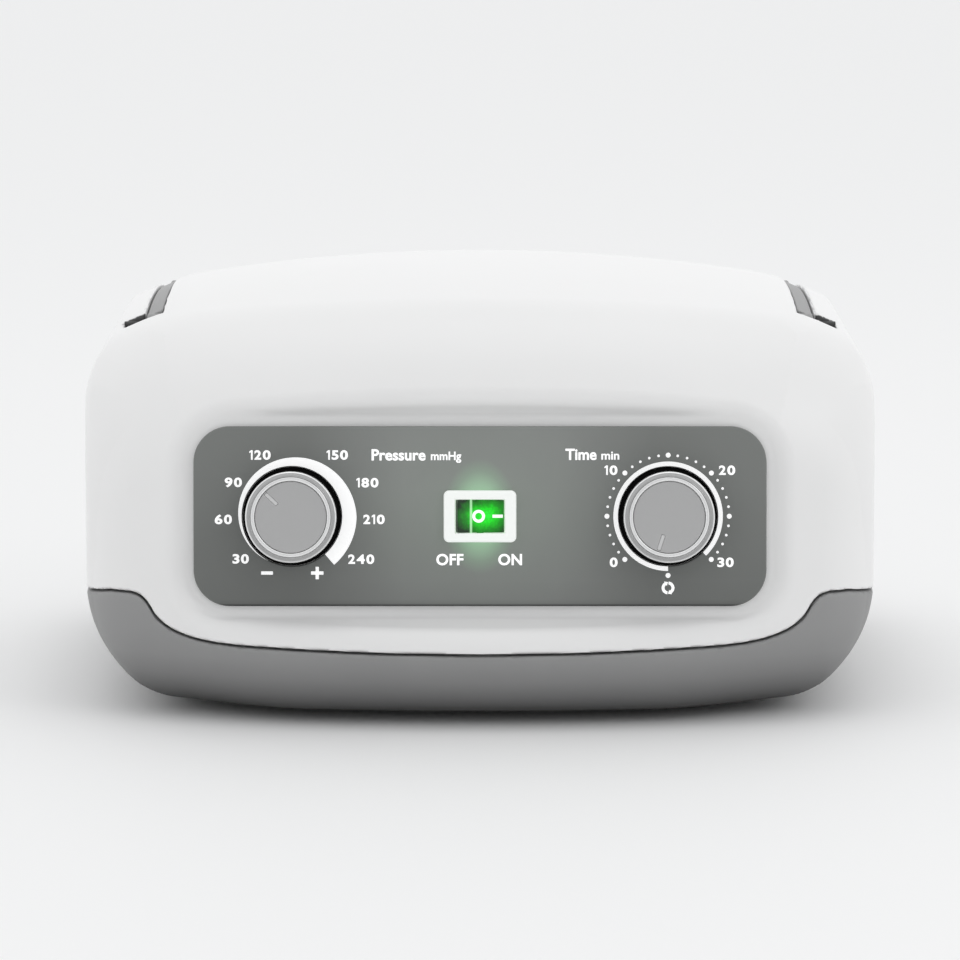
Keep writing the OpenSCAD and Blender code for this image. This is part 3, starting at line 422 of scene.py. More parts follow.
def fix_outward(ob):
    """Turn all faces of a closed mesh outward."""
    bm = bmesh.new()
    bm.from_mesh(ob.data)
    bmesh.ops.recalc_face_normals(bm, faces=bm.faces)
    bm.to_mesh(ob.data)
    bm.free()


def circle(r, cx=0.0, n=96):
    turns = [2 * math.pi * k / n for k in range(n)]
    return [(cx + r * math.cos(t), r * math.sin(t)) for t in turns]


def rounded_rect(w, h, r, n=12, cy=0.0):
    pts = []
    for sx, sy, a in ((1, 1, 0), (-1, 1, 90), (-1, -1, 180), (1, -1, 270)):
        for k in range(n + 1):
            t = math.radians(a + 90 * k / n)
            pts.append((sx * (w / 2 - r) + r * math.cos(t), cy + sy * (h / 2 - r) + r * math.sin(t)))
    return pts


def plate(name, loops, thick, bevel, material, matrix):
    """A flat plate with edges rounded by bevel; the first loop is its outline, the rest are holes."""
    cu = bpy.data.curves.new(name, "CURVE")
    cu.dimensions = "2D"
    cu.fill_mode = "BOTH"
    for loop in loops:
        sp = cu.splines.new("POLY")
        sp.points.add(len(loop) - 1)
        for pt, (x, y) in zip(sp.points, loop):
            pt.co = (x * MM, y * MM, 0, 1)
        sp.use_cyclic_u = True
    cu.extrude = max(thick / 2 - bevel, 0) * MM
    cu.bevel_depth = bevel * MM
    cu.bevel_resolution = 3
    cu.offset = -bevel * MM
    tmp = bpy.data.objects.new(name + ".curve", cu)
    me = bpy.data.meshes.new_from_object(tmp)
    bpy.data.objects.remove(tmp)
    bpy.data.curves.remove(cu)
    me.name = name
    me.transform(Matrix.Translation((0, 0, thick / 2 * MM)))
    me.materials.clear()
    me.materials.append(material)
    me.polygons.foreach_set("use_smooth", np.ones(len(me.polygons), bool))
    me.set_sharp_from_angle(angle=math.radians(30))
    ob = bpy.data.objects.new(name, me)
    bpy.context.scene.collection.objects.link(ob)
    ob.matrix_world = matrix
    return ob


# ---- Materials ----
def nodes_of(name):
    m = bpy.data.materials.new(name)
    m.use_nodes = True
    nt = m.node_tree
    nt.nodes.clear()
    out = nt.nodes.new("ShaderNodeOutputMaterial")
    bsdf = nt.nodes.new("ShaderNodeBsdfPrincipled")
    nt.links.new(bsdf.outputs["BSDF"], out.inputs["Surface"])
    return m, nt, bsdf


def node(nt, kind, inputs=None, **props):
    """A node with its properties set, and its inputs given a value or linked to a socket."""
    n = nt.nodes.new(kind)
    for k, v in props.items():
        setattr(n, k, v)
    for k, v in (inputs or {}).items():
        if isinstance(v, bpy.types.NodeSocket):
            nt.links.new(v, n.inputs[k])
        else:
            n.inputs[k].default_value = v
    return n


def calc(nt, operation, *values):
    return node(nt, "ShaderNodeMath", dict(enumerate(values)), operation=operation).outputs[0]


def vector_math(nt, operation, inputs, out="Vector"):
    return node(nt, "ShaderNodeVectorMath", inputs, operation=operation).outputs[out]


def map_range(nt, value, low, high, to_low=0.0, to_high=1.0):
    spans = {"Value": value, "From Min": low, "From Max": high, "To Min": to_low, "To Max": to_high}
    return node(nt, "ShaderNodeMapRange", spans).outputs["Result"]


def mix(nt, share, a, b, **props):
    return node(nt, "ShaderNodeMix", {"Factor": share, "A": a, "B": b}, data_type="RGBA", **props).outputs[2]


def object_coords(nt):
    return node(nt, "ShaderNodeTexCoord").outputs["Object"]


def principled(material):
    return next(n for n in material.node_tree.nodes if n.type == "BSDF_PRINCIPLED")


def ramp(nt, value, stops):
    n = nt.nodes.new("ShaderNodeValToRGB")
    nt.links.new(value, n.inputs["Fac"])
    e = n.color_ramp.elements
    while len(e) < len(stops):
        e.new(0.5)
    for el, (pos, col) in zip(e, stops):
        el.position = pos
        el.color = (*col, 1) if len(col) == 3 else col
    return n.outputs["Color"]


def srgb(*c):
    return tuple(((v / 255 + 0.055) / 1.055) ** 2.4 if v > 10 else v / 255 / 12.92 for v in c)


def grey(v, warm=0.0):
    return srgb(v, v - warm, v - 2 * warm)


def moulded(name, colour, rough=0.4, vary=0.03, grain=1800, bump=0.06, depth=0.00004, edge_hollow_share=0.25, spec=0.5,
            coat=0.0, coat_rough=0.2, metallic=0.0, tone=()):
    """Moulded or turned surface: cloudy colour, fine grain, lighter on sharp edges and darker in hollows.
    tone lists (axis, stops in mm): painted shade and painted highlight; the colour is shaded along the
    piece's own X, Y or Z, or by R, the distance from its Z."""
    m, nt, bsdf = nodes_of(name)
    at = object_coords(nt)
    cloud = node(nt, "ShaderNodeTexNoise", {"Vector": at, "Scale": 22.0, "Detail": 4.0, "Roughness": 0.55})
    fine = node(nt, "ShaderNodeTexNoise", {"Vector": at, "Scale": float(grain), "Detail": 3.0,
                                           "Roughness": 0.6})
    light = tuple(min(1.0, c * (1 + vary)) for c in colour)
    deep = tuple(c * (1 - vary) for c in colour)
    base = ramp(nt, cloud.outputs["Fac"], [(0.3, deep), (0.7, light)])
    # Lighter on sharp edges and darker in hollows, by the mesh's pointiness
    point = node(nt, "ShaderNodeNewGeometry").outputs["Pointiness"]
    edge = ramp(nt, point, [(0.50, (0, 0, 0)), (0.58, (1, 1, 1))])
    hollow_mask = ramp(nt, point, [(0.42, (1, 1, 1)), (0.50, (0, 0, 0))])
    edge_colour = (*(min(1.0, c * 1.25 + 0.02) for c in colour), 1)
    hollow_colour = (*(c * 0.72 for c in colour), 1)
    final = mix(nt, calc(nt, "MULTIPLY", edge, edge_hollow_share), base, edge_colour)
    final = mix(nt, calc(nt, "MULTIPLY", hollow_mask, edge_hollow_share * 0.8), final, hollow_colour)
    for axis, stops in tone:
        low, high, top = stops[0][0], stops[-1][0], max(k for _, k in stops)
        if axis == "R":
            flat = node(nt, "ShaderNodeMapping", {"Vector": at, "Scale": (1, 1, 0)}).outputs["Vector"]
            along = vector_math(nt, "LENGTH", {0: flat}, "Value")
        else:
            along = node(nt, "ShaderNodeSeparateXYZ", {"Vector": at}).outputs[axis]
        share = map_range(nt, along, low * MM, high * MM)
        shade = ramp(nt, share, [((stop - low) / (high - low), (k / top,) * 3) for stop, k in stops])
        shade = vector_math(nt, "SCALE", {0: shade, "Scale": float(top)})
        final = vector_math(nt, "MULTIPLY", {0: final, 1: shade})
    nt.links.new(final, bsdf.inputs["Base Color"])
    spread = 0.06
    roughness = map_range(nt, cloud.outputs["Fac"], 0.3, 0.7, rough - spread, rough + spread)
    nt.links.new(roughness, bsdf.inputs["Roughness"])
    b = node(nt, "ShaderNodeBump", {"Height": fine.outputs["Fac"], "Strength": bump, "Distance": depth})
    nt.links.new(b.outputs["Normal"], bsdf.inputs["Normal"])
    bsdf.inputs["Specular IOR Level"].default_value = spec
    bsdf.inputs["Coat Weight"].default_value = coat
    bsdf.inputs["Coat Roughness"].default_value = coat_rough
    bsdf.inputs["Metallic"].default_value = metallic
    return m


def brushed(name, colour, axis="Z"):
    """Metal with fine turning marks round one axis of the piece."""
    m, nt, bsdf = nodes_of(name)
    stretch = {"Z": (60, 60, 2500), "Y": (60, 2500, 60)}[axis]
    mapped = node(nt, "ShaderNodeMapping", {"Vector": object_coords(nt), "Scale": stretch}).outputs["Vector"]
    lines = node(nt, "ShaderNodeTexNoise", {"Vector": mapped, "Scale": 1.0, "Detail": 4.0}).outputs["Fac"]
    deep = tuple(c * 0.85 for c in colour)
    light = tuple(min(1, c * 1.08) for c in colour)
    nt.links.new(ramp(nt, lines, [(0.3, deep), (0.7, light)]), bsdf.inputs["Base Color"])
    rough, spread = 0.32, 0.08
    nt.links.new(map_range(nt, lines, 0.0, 1.0, rough - spread, rough + spread), bsdf.inputs["Roughness"])
    b = node(nt, "ShaderNodeBump", {"Height": lines, "Strength": 0.2, "Distance": 0.00003})
    nt.links.new(b.outputs["Normal"], bsdf.inputs["Normal"])
    bsdf.inputs["Metallic"].default_value = 1.0
    return m


# Shade by place, as (mm, share of the colour): painted shade low on the tray and over the film; on the dial's
# ring, near black below the rim and painted highlights on its bevel and rim
TRAY_SHADE = [("Z", [(2, 0.16), (5, 0.30), (9, 0.52), (14, 0.74), (20, 0.90), (28, 0.97), (38, 1.0)])]
FILM_SHADE = [("Y", [(-26, 0.10), (-25.65, 0.16), (-25.3, 0.62), (-24.0, 0.74), (-18, 0.80), (-6, 0.86),
                     (8, 0.96), (26, 1.0)]),
              ("X", [(-83, 0.72), (-50, 0.70), (-22, 0.98), (22, 0.98), (50, 0.73), (83, 0.76)])]
# Dial's ring: near black below the rim by height, and bright bands of painted highlight on the bevel ring and
# the rim by radius
RING_SKIRT_AND_HIGHLIGHTS = [("Z", [(0, 0.03), (9.9, 0.03), (10.15, 1.0), (12, 1.0)]),
              ("R", [(0, 1.0), (10.4, 1.2), (10.55, 1.55), (11.3, 1.6), (11.5, 0.86), (12.65, 0.84),
                     (12.8, 1.5), (13.2, 1.5)])]
M = {
    "hood": moulded("hood_plastic", grey(240, 0.3), rough=0.36, vary=0.008, grain=2600, bump=0.05,
                    edge_hollow_share=0.12, coat=0.25, coat_rough=0.22),
    "tray": moulded("tray_plastic", grey(150), rough=0.5, grain=1500, bump=0.12, edge_hollow_share=0.2, tone=TRAY_SHADE),
    "panel": moulded("panel_film", srgb(140, 143, 140), rough=0.38, grain=3000, edge_hollow_share=0.05, coat=0.1,
                     tone=FILM_SHADE),
    "knob": moulded("knob_satin", grey(200), rough=0.24, vary=0.02, grain=3000, bump=0.04, edge_hollow_share=0.2,
                    metallic=0.7, tone=RING_SKIRT_AND_HIGHLIGHTS),
    "cap": moulded("cap_satin", grey(188), vary=0.015, grain=3000, bump=0.05, edge_hollow_share=0.1, metallic=0.55),
    "arm": moulded("arm_plastic", grey(150), rough=0.45, grain=1600, bump=0.1, edge_hollow_share=0.2),
    "grip": moulded("grip_rubber", grey(110), rough=0.62, vary=0.05, grain=900, bump=0.25, depth=0.0001,
                    edge_hollow_share=0.3),
    "dark": moulded("dark_rubber", grey(34), rough=0.65, vary=0.1, grain=900, bump=0.2, depth=0.00008,
                    edge_hollow_share=0.3),
    # Washers down the dials' wells, near black: painted shade for the gap round each dial
    "well": moulded("well_shade_black", grey(12), rough=0.85, vary=0.1, grain=900, bump=0.3, edge_hollow_share=0.1, spec=0.1),
    "black": moulded("black_plastic", grey(26), rough=0.45, vary=0.06, grain=1500, bump=0.12),
    "print": moulded("print_white", grey(252), rough=0.5, vary=0.01, grain=4000, bump=0.04, edge_hollow_share=0.0),
    "pointer": moulded("pointer_light", grey(208), rough=0.45, vary=0.02, grain=3000, bump=0.05, edge_hollow_share=0.1),
    "bezel": moulded("bezel_white", grey(238), rough=0.3, vary=0.01, grain=3000, bump=0.04, edge_hollow_share=0.1,
                     coat=0.3, coat_rough=0.15),
    "steel": brushed("steel_brushed", srgb(190, 192, 195)),
    "brass": brushed("brass_brushed", srgb(205, 170, 95)),
    "copper": brushed("copper_wire", srgb(190, 110, 62)),
    "lamination": brushed("core_iron", srgb(120, 120, 125), axis="Y"),
    "magnet": moulded("magnet_ferrite", grey(58), vary=0.08, grain=1200, bump=0.15, edge_hollow_share=0.3),
    "cream": moulded("cream_plastic", srgb(226, 222, 205), rough=0.45, grain=1500, bump=0.1, edge_hollow_share=0.2),
    "natural": moulded("natural_nylon", srgb(224, 222, 212), grain=1500, bump=0.08, edge_hollow_share=0.15),
    "hose": moulded("hose_silicone", srgb(222, 222, 214), rough=0.35, grain=1200, bump=0.05, edge_hollow_share=0.1),
    "felt": moulded("felt_filter", srgb(216, 214, 200), rough=0.95, vary=0.08, grain=700, bump=0.9,
                    depth=0.0004, edge_hollow_share=0.0),
    "label": moulded("label_plate", grey(196), rough=0.35, grain=2400, edge_hollow_share=0.2, metallic=0.5),
    "plate": moulded("plate_grey", grey(112), rough=0.42, grain=2000, bump=0.08, edge_hollow_share=0.15),
}


def light_film(material):
    """The switch's lamp light on the film, fading with the distance from the middle of the switch."""
    nt = material.node_tree
    bsdf = principled(material)
    at = object_coords(nt)

    def glow(scale, stops):
        near = node(nt, "ShaderNodeMapping", {"Vector": at, "Scale": scale}).outputs["Vector"]
        return ramp(nt, vector_math(nt, "LENGTH", {0: near}, "Value"), stops)

    close = glow((92, 60, 0), [(0.40, (0.12, 0.30, 0.14)), (0.55, (0.085, 0.22, 0.10)),
                               (0.78, (0.022, 0.07, 0.028)), (1.0, (0, 0, 0))])
    wide = glow((24, 34, 0), [(0.2, (0.022, 0.036, 0.022)), (0.6, (0.008, 0.013, 0.008)), (1.0, (0, 0, 0))])
    nt.links.new(vector_math(nt, "ADD", {0: close, 1: wide}), bsdf.inputs["Emission Color"])
    bsdf.inputs["Emission Strength"].default_value = 1.0


def shade_slots(material):
    """Shade in the depth of the two slots beside the handle's pivots."""
    nt = material.node_tree
    at = node(nt, "ShaderNodeSeparateXYZ", {"Vector": object_coords(nt)}).outputs
    inside = 1.0
    # Each axis with the slot's middle and half its size
    for value, mid, half in ((calc(nt, "ABSOLUTE", at["X"]), 101.8, 4.2), (at["Y"], PIVOT_Y - 2.3, 4.1),
                             (at["Z"], 103.0, 12.0)):
        off = calc(nt, "ABSOLUTE", calc(nt, "SUBTRACT", value, mid * MM))
        within = map_range(nt, off, (half - 0.25) * MM, (half + 0.1) * MM, 1.0, 0.0)
        inside = calc(nt, "MULTIPLY", within, inside)
    colour = principled(material).inputs["Base Color"]
    shaded = mix(nt, inside, colour.links[0].from_socket, (0.10, 0.10, 0.10, 1))
    nt.links.new(shaded, colour)


light_film(M["panel"])
shade_slots(M["hood"])
# Painted light: the print glows faintly to stay bright white, and the switch's bezel glows pale green
for key, tint, strength in (("print", (1, 1, 1), 0.34), ("bezel", (0.9, 1.0, 0.9), 0.24)):
    inputs = principled(M[key]).inputs
    inputs["Emission Color"].default_value = (*tint, 1)
    inputs["Emission Strength"].default_value = strength

SLOT_MATERIAL = {
    "rear_plate": "plate", "rating_plate": "label", "rubber_feet": "dark", "housing_screws": "steel",
    "filter_cover": "black", "filter_felt": "felt", "seal_washers": "well", "shaft_nuts": "steel",
    "switch_lamp": "natural", "switch_terminals": "brass", "regulator_body": "black",
    "regulator_shaft": "steel", "regulator_plunger": "brass", "regulator_spring": "steel",
    "timer_case": "cream", "timer_shaft": "steel", "timer_cam": "brass", "timer_terminals": "brass",
    "handle_bar": "steel", "handle_pins": "black", "compressor_mounts": "dark", "compressor_plate": "steel",
    "compressor_frame": "natural", "compressor_cores": "lamination", "compressor_coils": "copper",
    "compressor_armature": "steel", "compressor_magnets": "magnet", "diaphragms": "dark",
    "pump_head_left": "black", "pump_head_right": "black", "distributor_body": "natural",
    "distributor_rotor": "cream", "distributor_gear": "cream", "motor_pinion": "brass",
    "valve_motor": "steel",
    "outlet_nozzles": "natural", "outlet_hoses": "hose", "supply_hoses": "hose", "power_inlet": "black",
    "inlet_pins": "brass", "fuse_holders": "black", "terminal_block": "cream",
}
for cad, key in SLOT_MATERIAL.items():
    if cad in NODES:
        NODES[cad].data.materials.clear()
        NODES[cad].data.materials.append(M[key])

# ---- Camera at the photograph's viewing angle, then light and floor ----
WORLD_LIGHT, TOP_LIGHT, KEY_LIGHT = 1.04, 0.6, 0.9
CAMERA_TILT, CAMERA_AWAY, SENSOR, LENS = math.radians(10), 1.3, 36, 168.6
# The panel's middle lies AIM_LOW px below the middle of a picture whose lens is FOCAL px long
AIM_LOW, FOCAL = 36, 4496
view = bpy.context.scene.view_settings
view.view_transform = "Standard"
view.look = "None"
aim = Vector((0, FLOOR_Y * MM, PANEL_Z * MM))
cam_data = bpy.data.cameras.new("camera")
cam = bpy.data.objects.new("camera", cam_data)
bpy.context.scene.collection.objects.link(cam)
cam.location = aim + Vector((0, -math.cos(CAMERA_TILT), math.sin(CAMERA_TILT))) * CAMERA_AWAY
cam_data.sensor_width = SENSOR
cam_data.lens = LENS
cam.rotation_euler = (math.pi / 2 - CAMERA_TILT + math.atan(AIM_LOW / FOCAL), 0, 0)
cam_data.clip_start, cam_data.clip_end = 0.05, 50
bpy.context.scene.camera = cam

# A pale room that is a little darker on the camera's side
world = bpy.data.worlds.new("studio")
bpy.context.scene.world = world
world.use_nodes = True
sky = world.node_tree
sky_at = node(sky, "ShaderNodeTexCoord").outputs["Generated"]
toward = vector_math(sky, "DOT_PRODUCT", {0: sky_at, 1: (0.0, -0.97, 0.24)}, "Value")
sky_colour = ramp(sky, toward, [(0.0, (0.97, 0.975, 0.98)), (0.45, (0.92, 0.925, 0.93)),
                                (0.86, (0.66, 0.665, 0.67)), (1.0, (0.56, 0.565, 0.57))])
sky.links.new(sky_colour, sky.nodes["Background"].inputs["Color"])
sky.nodes["Background"].inputs["Strength"].default_value = WORLD_LIGHT


def area(name, at, to, size, power, size_y=None):
    """A lamp panel that the camera doesn't see."""
    d = bpy.data.lights.new(name, "AREA")
    d.energy = power
    d.size = size
    if size_y:
        d.shape = "RECTANGLE"
        d.size_y = size_y
    o = bpy.data.objects.new(name, d)
    bpy.context.scene.collection.objects.link(o)
    o.location = at
    o.rotation_euler = (Vector(to) - Vector(at)).to_track_quat("-Z", "Y").to_euler()
    o.visible_camera = False


area("top_light", (0.0, 0.05, 1.2), (0, 0, 0.06), 0.8, TOP_LIGHT, 0.6)
area("key_light", (0.9, -0.7, 0.9), (0, 0, 0.06), 0.5, KEY_LIGHT)

floor_me = bpy.data.meshes.new("floor")
floor_me.from_pydata([(-40, -40, 0), (40, -40, 0), (40, 40, 0), (-40, 40, 0)], [], [(0, 1, 2, 3)])
floor_mat, floor_nt, floor_bsdf = nodes_of("floor_pale")
floor_noise = node(floor_nt, "ShaderNodeTexNoise", {"Scale": 6.0, "Detail": 3.0})
floor_colour = ramp(floor_nt, floor_noise.outputs["Fac"], [(0.3, (0.90,) * 3), (0.7, (0.92,) * 3)])
floor_nt.links.new(floor_colour, floor_bsdf.inputs["Base Color"])
floor_bsdf.inputs["Roughness"].default_value = 0.7
floor_me.materials.append(floor_mat)
floor = bpy.data.objects.new("floor", floor_me)
bpy.context.scene.collection.objects.link(floor)


# ---- Hood and tray ----
def hood_lift(x, z):
    """Grid rows follow the seam low down and turn level further up."""
    follow = clamp01(1 - (z - 4) / 80)
    return z + seam_z(x) * follow + 34 * (1 - follow)


def tray_lift(x, z):
    return z + seam_z(x)


field_piece("hood", ROOT, "upper_shell", M["hood"], hood_field, lo=(-119.0, -97.0, -1.2),
            hi=(119.0, 97.0, 95.0), step=(1.12, 1.12, 1.0), lift=hood_lift)
field_piece("tray", ROOT, "lower_tray", M["tray"], tray_field, lo=(-119.0, -97.0, -37.0),
            hi=(119.0, 97.0, 3.5), step=(1.0, 1.0, 0.9), lift=tray_lift)

# ---- Control panel ----
fascia_loops = [rounded_rect(PANEL_W, PANEL_H, PANEL_R, 16), circle(WELL_R, -DIAL_X), circle(WELL_R, DIAL_X),
                rounded_rect(OPENING_W, OPENING_H, 0.6, 4)]
fascia = plate("fascia", fascia_loops, PANEL_T, 0.35, M["panel"], panel_matrix())
finish_piece(fascia, ROOT, "front_panel")


def knob_piece(name, x, body, cad):
    """The dial's turned ring, from its bore over the skirt and the rim to the seat of the face disc."""
    pts = [(SHAFT_R, 4), (6.5, 4), (6.5, 8.2), (11.2, 8.2), (11.2, 1.2), (KNOB_R, 1.2), (KNOB_R, 10.6),
           (12.6, 11.0), (11.75, 10.7), (11.4, RIM_H), (CAP_R + 0.06, RIM_H), (CAP_R, FACE_SEAT_H),
           (0, FACE_SEAT_H)]
    rad = [0, 0.3, 0.3, 0.3, 0.3, 0.25, 0.35, 0.3, 0.3, 0.35, 0.4, 0, 0]
    ob = lathe(name, rounded_profile(pts, rad), M["knob"], panel_matrix(x), around=160)
    finish_piece(ob, body, cad)


def cap_piece(name, x, angle, body, cad):
    """Face disc with a shallow channel for its pointer."""
    a = math.radians(angle)
    ux, uy = math.sin(a), math.cos(a)

    def field(px, py, pz):
        disc_ = blend(np.hypot(px, py) - CAP_R, pz - FACE_H, 0.35)
        disc_ = np.maximum(disc_, FACE_SEAT_H - pz)
        along = px * ux + py * uy
        across = px * uy - py * ux
        line = np.maximum(np.abs(across) - CHANNEL_W / 2, np.abs(along - POINTER_MID) - CHANNEL_L / 2)
        return blend(disc_, -np.maximum(line, CHANNEL_H - pz), 0.18)

    field_piece(name, body, cad, M["cap"], field, lo=(-10.8, -10.8, 10.0), hi=(10.8, 10.8, 11.6),
                step=(0.2, 0.2, 0.12), matrix=panel_matrix(x))


def pointer_piece(name, x, angle, body):
    """Light line lying in the face's channel."""
    bar = rounded_rect(1.0, 4.5, 0.3, 5, cy=POINTER_MID)
    placed = panel_matrix(x, 0, POINTER_H) @ Matrix.Rotation(-math.radians(angle), 4, "Z")
    finish_piece(plate(name, [bar], 0.3, 0.08, M["pointer"], placed), body, None)


knob_piece("pressure_dial_ring", -DIAL_X, "pressure_dial", "pressure_knob")
knob_piece("time_dial_ring", DIAL_X, "time_dial", "time_knob")
cap_piece("pressure_dial_face", -DIAL_X, PRESSURE_AT, "pressure_dial", "pressure_knob_cap")
cap_piece("time_dial_face", DIAL_X, TIME_AT, "time_dial", "time_knob_cap")
pointer_piece("pressure_dial_pointer", -DIAL_X, PRESSURE_AT, "pressure_dial")
pointer_piece("time_dial_pointer", DIAL_X, TIME_AT, "time_dial")


# ---- Switch ----
def bezel_field(x, v, h):
    """Frame on the film, with its back through the opening, the rocker's window and the axle's bore."""
    rim = blend(rect_field(x, v, BEZEL_W, BEZEL_H, 1.6), h - BEZEL_TOP, 0.6)
    rim = np.maximum(rim, PANEL_T - h)
    back = np.maximum(np.abs(x) - BACK_W / 2, np.abs(v) - BACK_H / 2)
    back = np.maximum(back, np.maximum(-13 - h, h - 2.5))
    window = np.maximum(np.maximum(np.abs(x) - WINDOW_W / 2, np.abs(v) - WINDOW_H / 2), -10 - h)
    solid = blend(np.minimum(rim, back), -window, 0.35)
    return np.maximum(solid, -np.maximum(np.hypot(x, h - AXLE_H) - 1.05, np.abs(v) - 6))


field_piece("switch_bezel", ROOT, "switch_frame", M["bezel"], bezel_field, lo=(-11, -8, -13.6),
            hi=(11, 8, 4.4), step=0.25, matrix=panel_matrix())


def rocker_field(x, v, h):
    """Paddle with its two top slopes meeting at the fold, ends that clear the window, and the axle."""
    h = h - AXLE_H
    a = (h - (FOLD_H + RISE * (x - FOLD_X))) / math.hypot(1, RISE)
    b = (h - (FOLD_H + FALL * (x - FOLD_X))) / math.hypot(1, FALL)
    low_end = x - LOW_X + 0.23 * np.maximum(LOW_H - h, 0)
    high_end = -x - LOW_X + 0.25 * np.maximum(-h, 0) + 0.21 * np.maximum(h, 0)
    solid = blend(join(a, b, 0.2), np.maximum(low_end, high_end), 0.25)
    solid = blend(solid, np.maximum(np.abs(v) - 4.7, -3.2 - h), 0.25)
    return np.minimum(solid, np.maximum(np.hypot(x, h) - 1, np.abs(v) - 5.9))


def lit_plastic():
    """Green plastic lit from behind: bright in the middle, mottled, with a pale line of painted highlight
    along the fold.
    """
    m, nt, bsdf = nodes_of("rocker_lit")
    at = object_coords(nt)
    centred = vector_math(nt, "ADD", {0: at, 1: (-0.0014, 0, 0)})
    flat = node(nt, "ShaderNodeMapping", {"Vector": centred, "Scale": (112, 150, 0)}).outputs["Vector"]
    speck = node(nt, "ShaderNodeTexVoronoi", {"Vector": at, "Scale": 1700.0}).outputs["Distance"]
    cloud = node(nt, "ShaderNodeTexNoise", {"Vector": at, "Scale": 420.0, "Detail": 4.0}).outputs["Fac"]
    mottled = map_range(nt, cloud, 0.0, 1.0, -0.22, 0.22)
    far = calc(nt, "ADD", vector_math(nt, "LENGTH", {0: flat}, "Value"), mottled)
    green = ramp(nt, far, [(0.0, srgb(25, 215, 45)), (0.35, srgb(8, 185, 18)), (0.62, srgb(0, 120, 8)),
                           (0.95, srgb(0, 28, 4))])
    dim = ramp(nt, speck, [(0.0, (1, 1, 1)), (0.9, (0.55, 0.55, 0.55))])
    green = mix(nt, 0.6, green, dim, blend_type="MULTIPLY")
    # Painted highlight: a pale line along the fold
    off = calc(nt, "ABSOLUTE", calc(nt, "ADD", node(nt, "ShaderNodeSeparateXYZ", {"Vector": at}).outputs["X"],
                                    -FOLD_X * MM))
    green = mix(nt, map_range(nt, off, 0.0002, 0.00045, 0.55, 0.0), green, (0.45, 0.75, 0.45, 1))
    nt.links.new(green, bsdf.inputs["Emission Color"])
    nt.links.new(green, bsdf.inputs["Base Color"])
    bsdf.inputs["Emission Strength"].default_value = 0.9
    bsdf.inputs["Roughness"].default_value = 0.3
    grain = node(nt, "ShaderNodeBump", {"Height": speck, "Strength": 0.3, "Distance": 0.0001})
    nt.links.new(grain.outputs["Normal"], bsdf.inputs["Normal"])
    return m


field_piece("rocker_paddle", "rocker", "switch_rocker", lit_plastic(), rocker_field, lo=(-7.6, -6.3, -2.8),
            hi=(7.6, 6.3, 4.6), step=0.2, matrix=panel_matrix())

# ---- Print on the fascia ----
PRINT_H = PANEL_T + 0.01


def ring_arc(r_in, r_out, a0, a1, n=96):
    """Flat band round the axis between clock angles, with its radii given as functions of the angle."""
    verts, faces = [], []
    for k in range(n + 1):
        a = a0 + (a1 - a0) * k / n
        t = math.radians(a)
        for r in (r_in(a), r_out(a)):
            verts.append((r * math.sin(t), r * math.cos(t), 0))
    for k in range(n):
        faces.append((2 * k, 2 * k + 1, 2 * k + 3, 2 * k + 2))
    return verts, faces


def thicken(verts, faces, cx, cy, t=0.05):
    """A thin raised print from a flat mesh."""
    n = len(verts)
    low = [(x + cx, y + cy, 0) for x, y, _ in verts]
    high = [(x + cx, y + cy, t) for x, y, _ in verts]
    edges = {}
    for f in faces:
        for a, b in zip(f, f[1:] + f[:1]):
            edges[(a, b)] = edges.get((a, b), 0) + 1
    walls = [(a, b, b + n, a + n) for (a, b) in edges if (b, a) not in edges]
    return low + high, [tuple(reversed(f)) for f in faces] + [tuple(i + n for i in f) for f in faces] + walls


def disc(r):
    n = 20
    rim = [(x, y, 0) for x, y in circle(r, n=n)]
    return [(0, 0, 0)] + rim, [(0, k + 1, (k + 1) % n + 1) for k in range(n)]


def box_flat(w, h):
    return [(-w / 2, -h / 2, 0), (w / 2, -h / 2, 0), (w / 2, h / 2, 0), (-w / 2, h / 2, 0)], [(0, 1, 2, 3)]


def text_mesh(body, height, bold, spacing, width):
    """Flat filled letters and their scale: capitals height tall, stretched to width where it is given."""
    cu = bpy.data.curves.new("t", "FONT")
    cu.body = body
    cu.size = 1.0
    cu.offset = bold
    cu.space_character = spacing
    cu.resolution_u = 5
    cu.fill_mode = "FRONT"
    tmp = bpy.data.objects.new("t", cu)
    me = bpy.data.meshes.new_from_object(tmp)
    bpy.data.objects.remove(tmp)
    co = np.array([v.co for v in me.vertices], float).reshape(-1, 3)
    faces = [tuple(p.vertices) for p in me.polygons]
    bpy.data.meshes.remove(me)
    bpy.data.curves.remove(cu)
    s = height / (0.69 + 2 * bold)
    co = co * s
    if width:
        co[:, 0] *= width / (co[:, 0].max() - co[:, 0].min())
    return co, faces, s


def words(body, x, v, height, bold, align="centre", spacing=1.0, width=None):
    """A word in print, at (x, v) by its middle or its left end."""
    co, faces, scale = text_mesh(body, height, bold, spacing, width)
    lo, hi = co[:, 0].min(), co[:, 0].max()
    co[:, 0] -= lo if align == "left" else (lo + hi) / 2
    co[:, 1] -= height / 2 - bold * scale
    return thicken([tuple(p) for p in co], faces, x, v)


DIGIT_W = {"0": 2.3, "2": 2.0, "3": 2.0, "4": 2.4, "5": 2.0, "6": 2.25, "8": 2.2, "9": 2.25}
DIGIT_H, DIGIT_GAP = 2.75, 0.42
ONE = [(-0.16, 0.70), (-0.16, 0.85), (0.03, 1.0), (0.2, 1.0), (0.2, 0.0), (0.02, 0.0), (0.02, 0.78)]


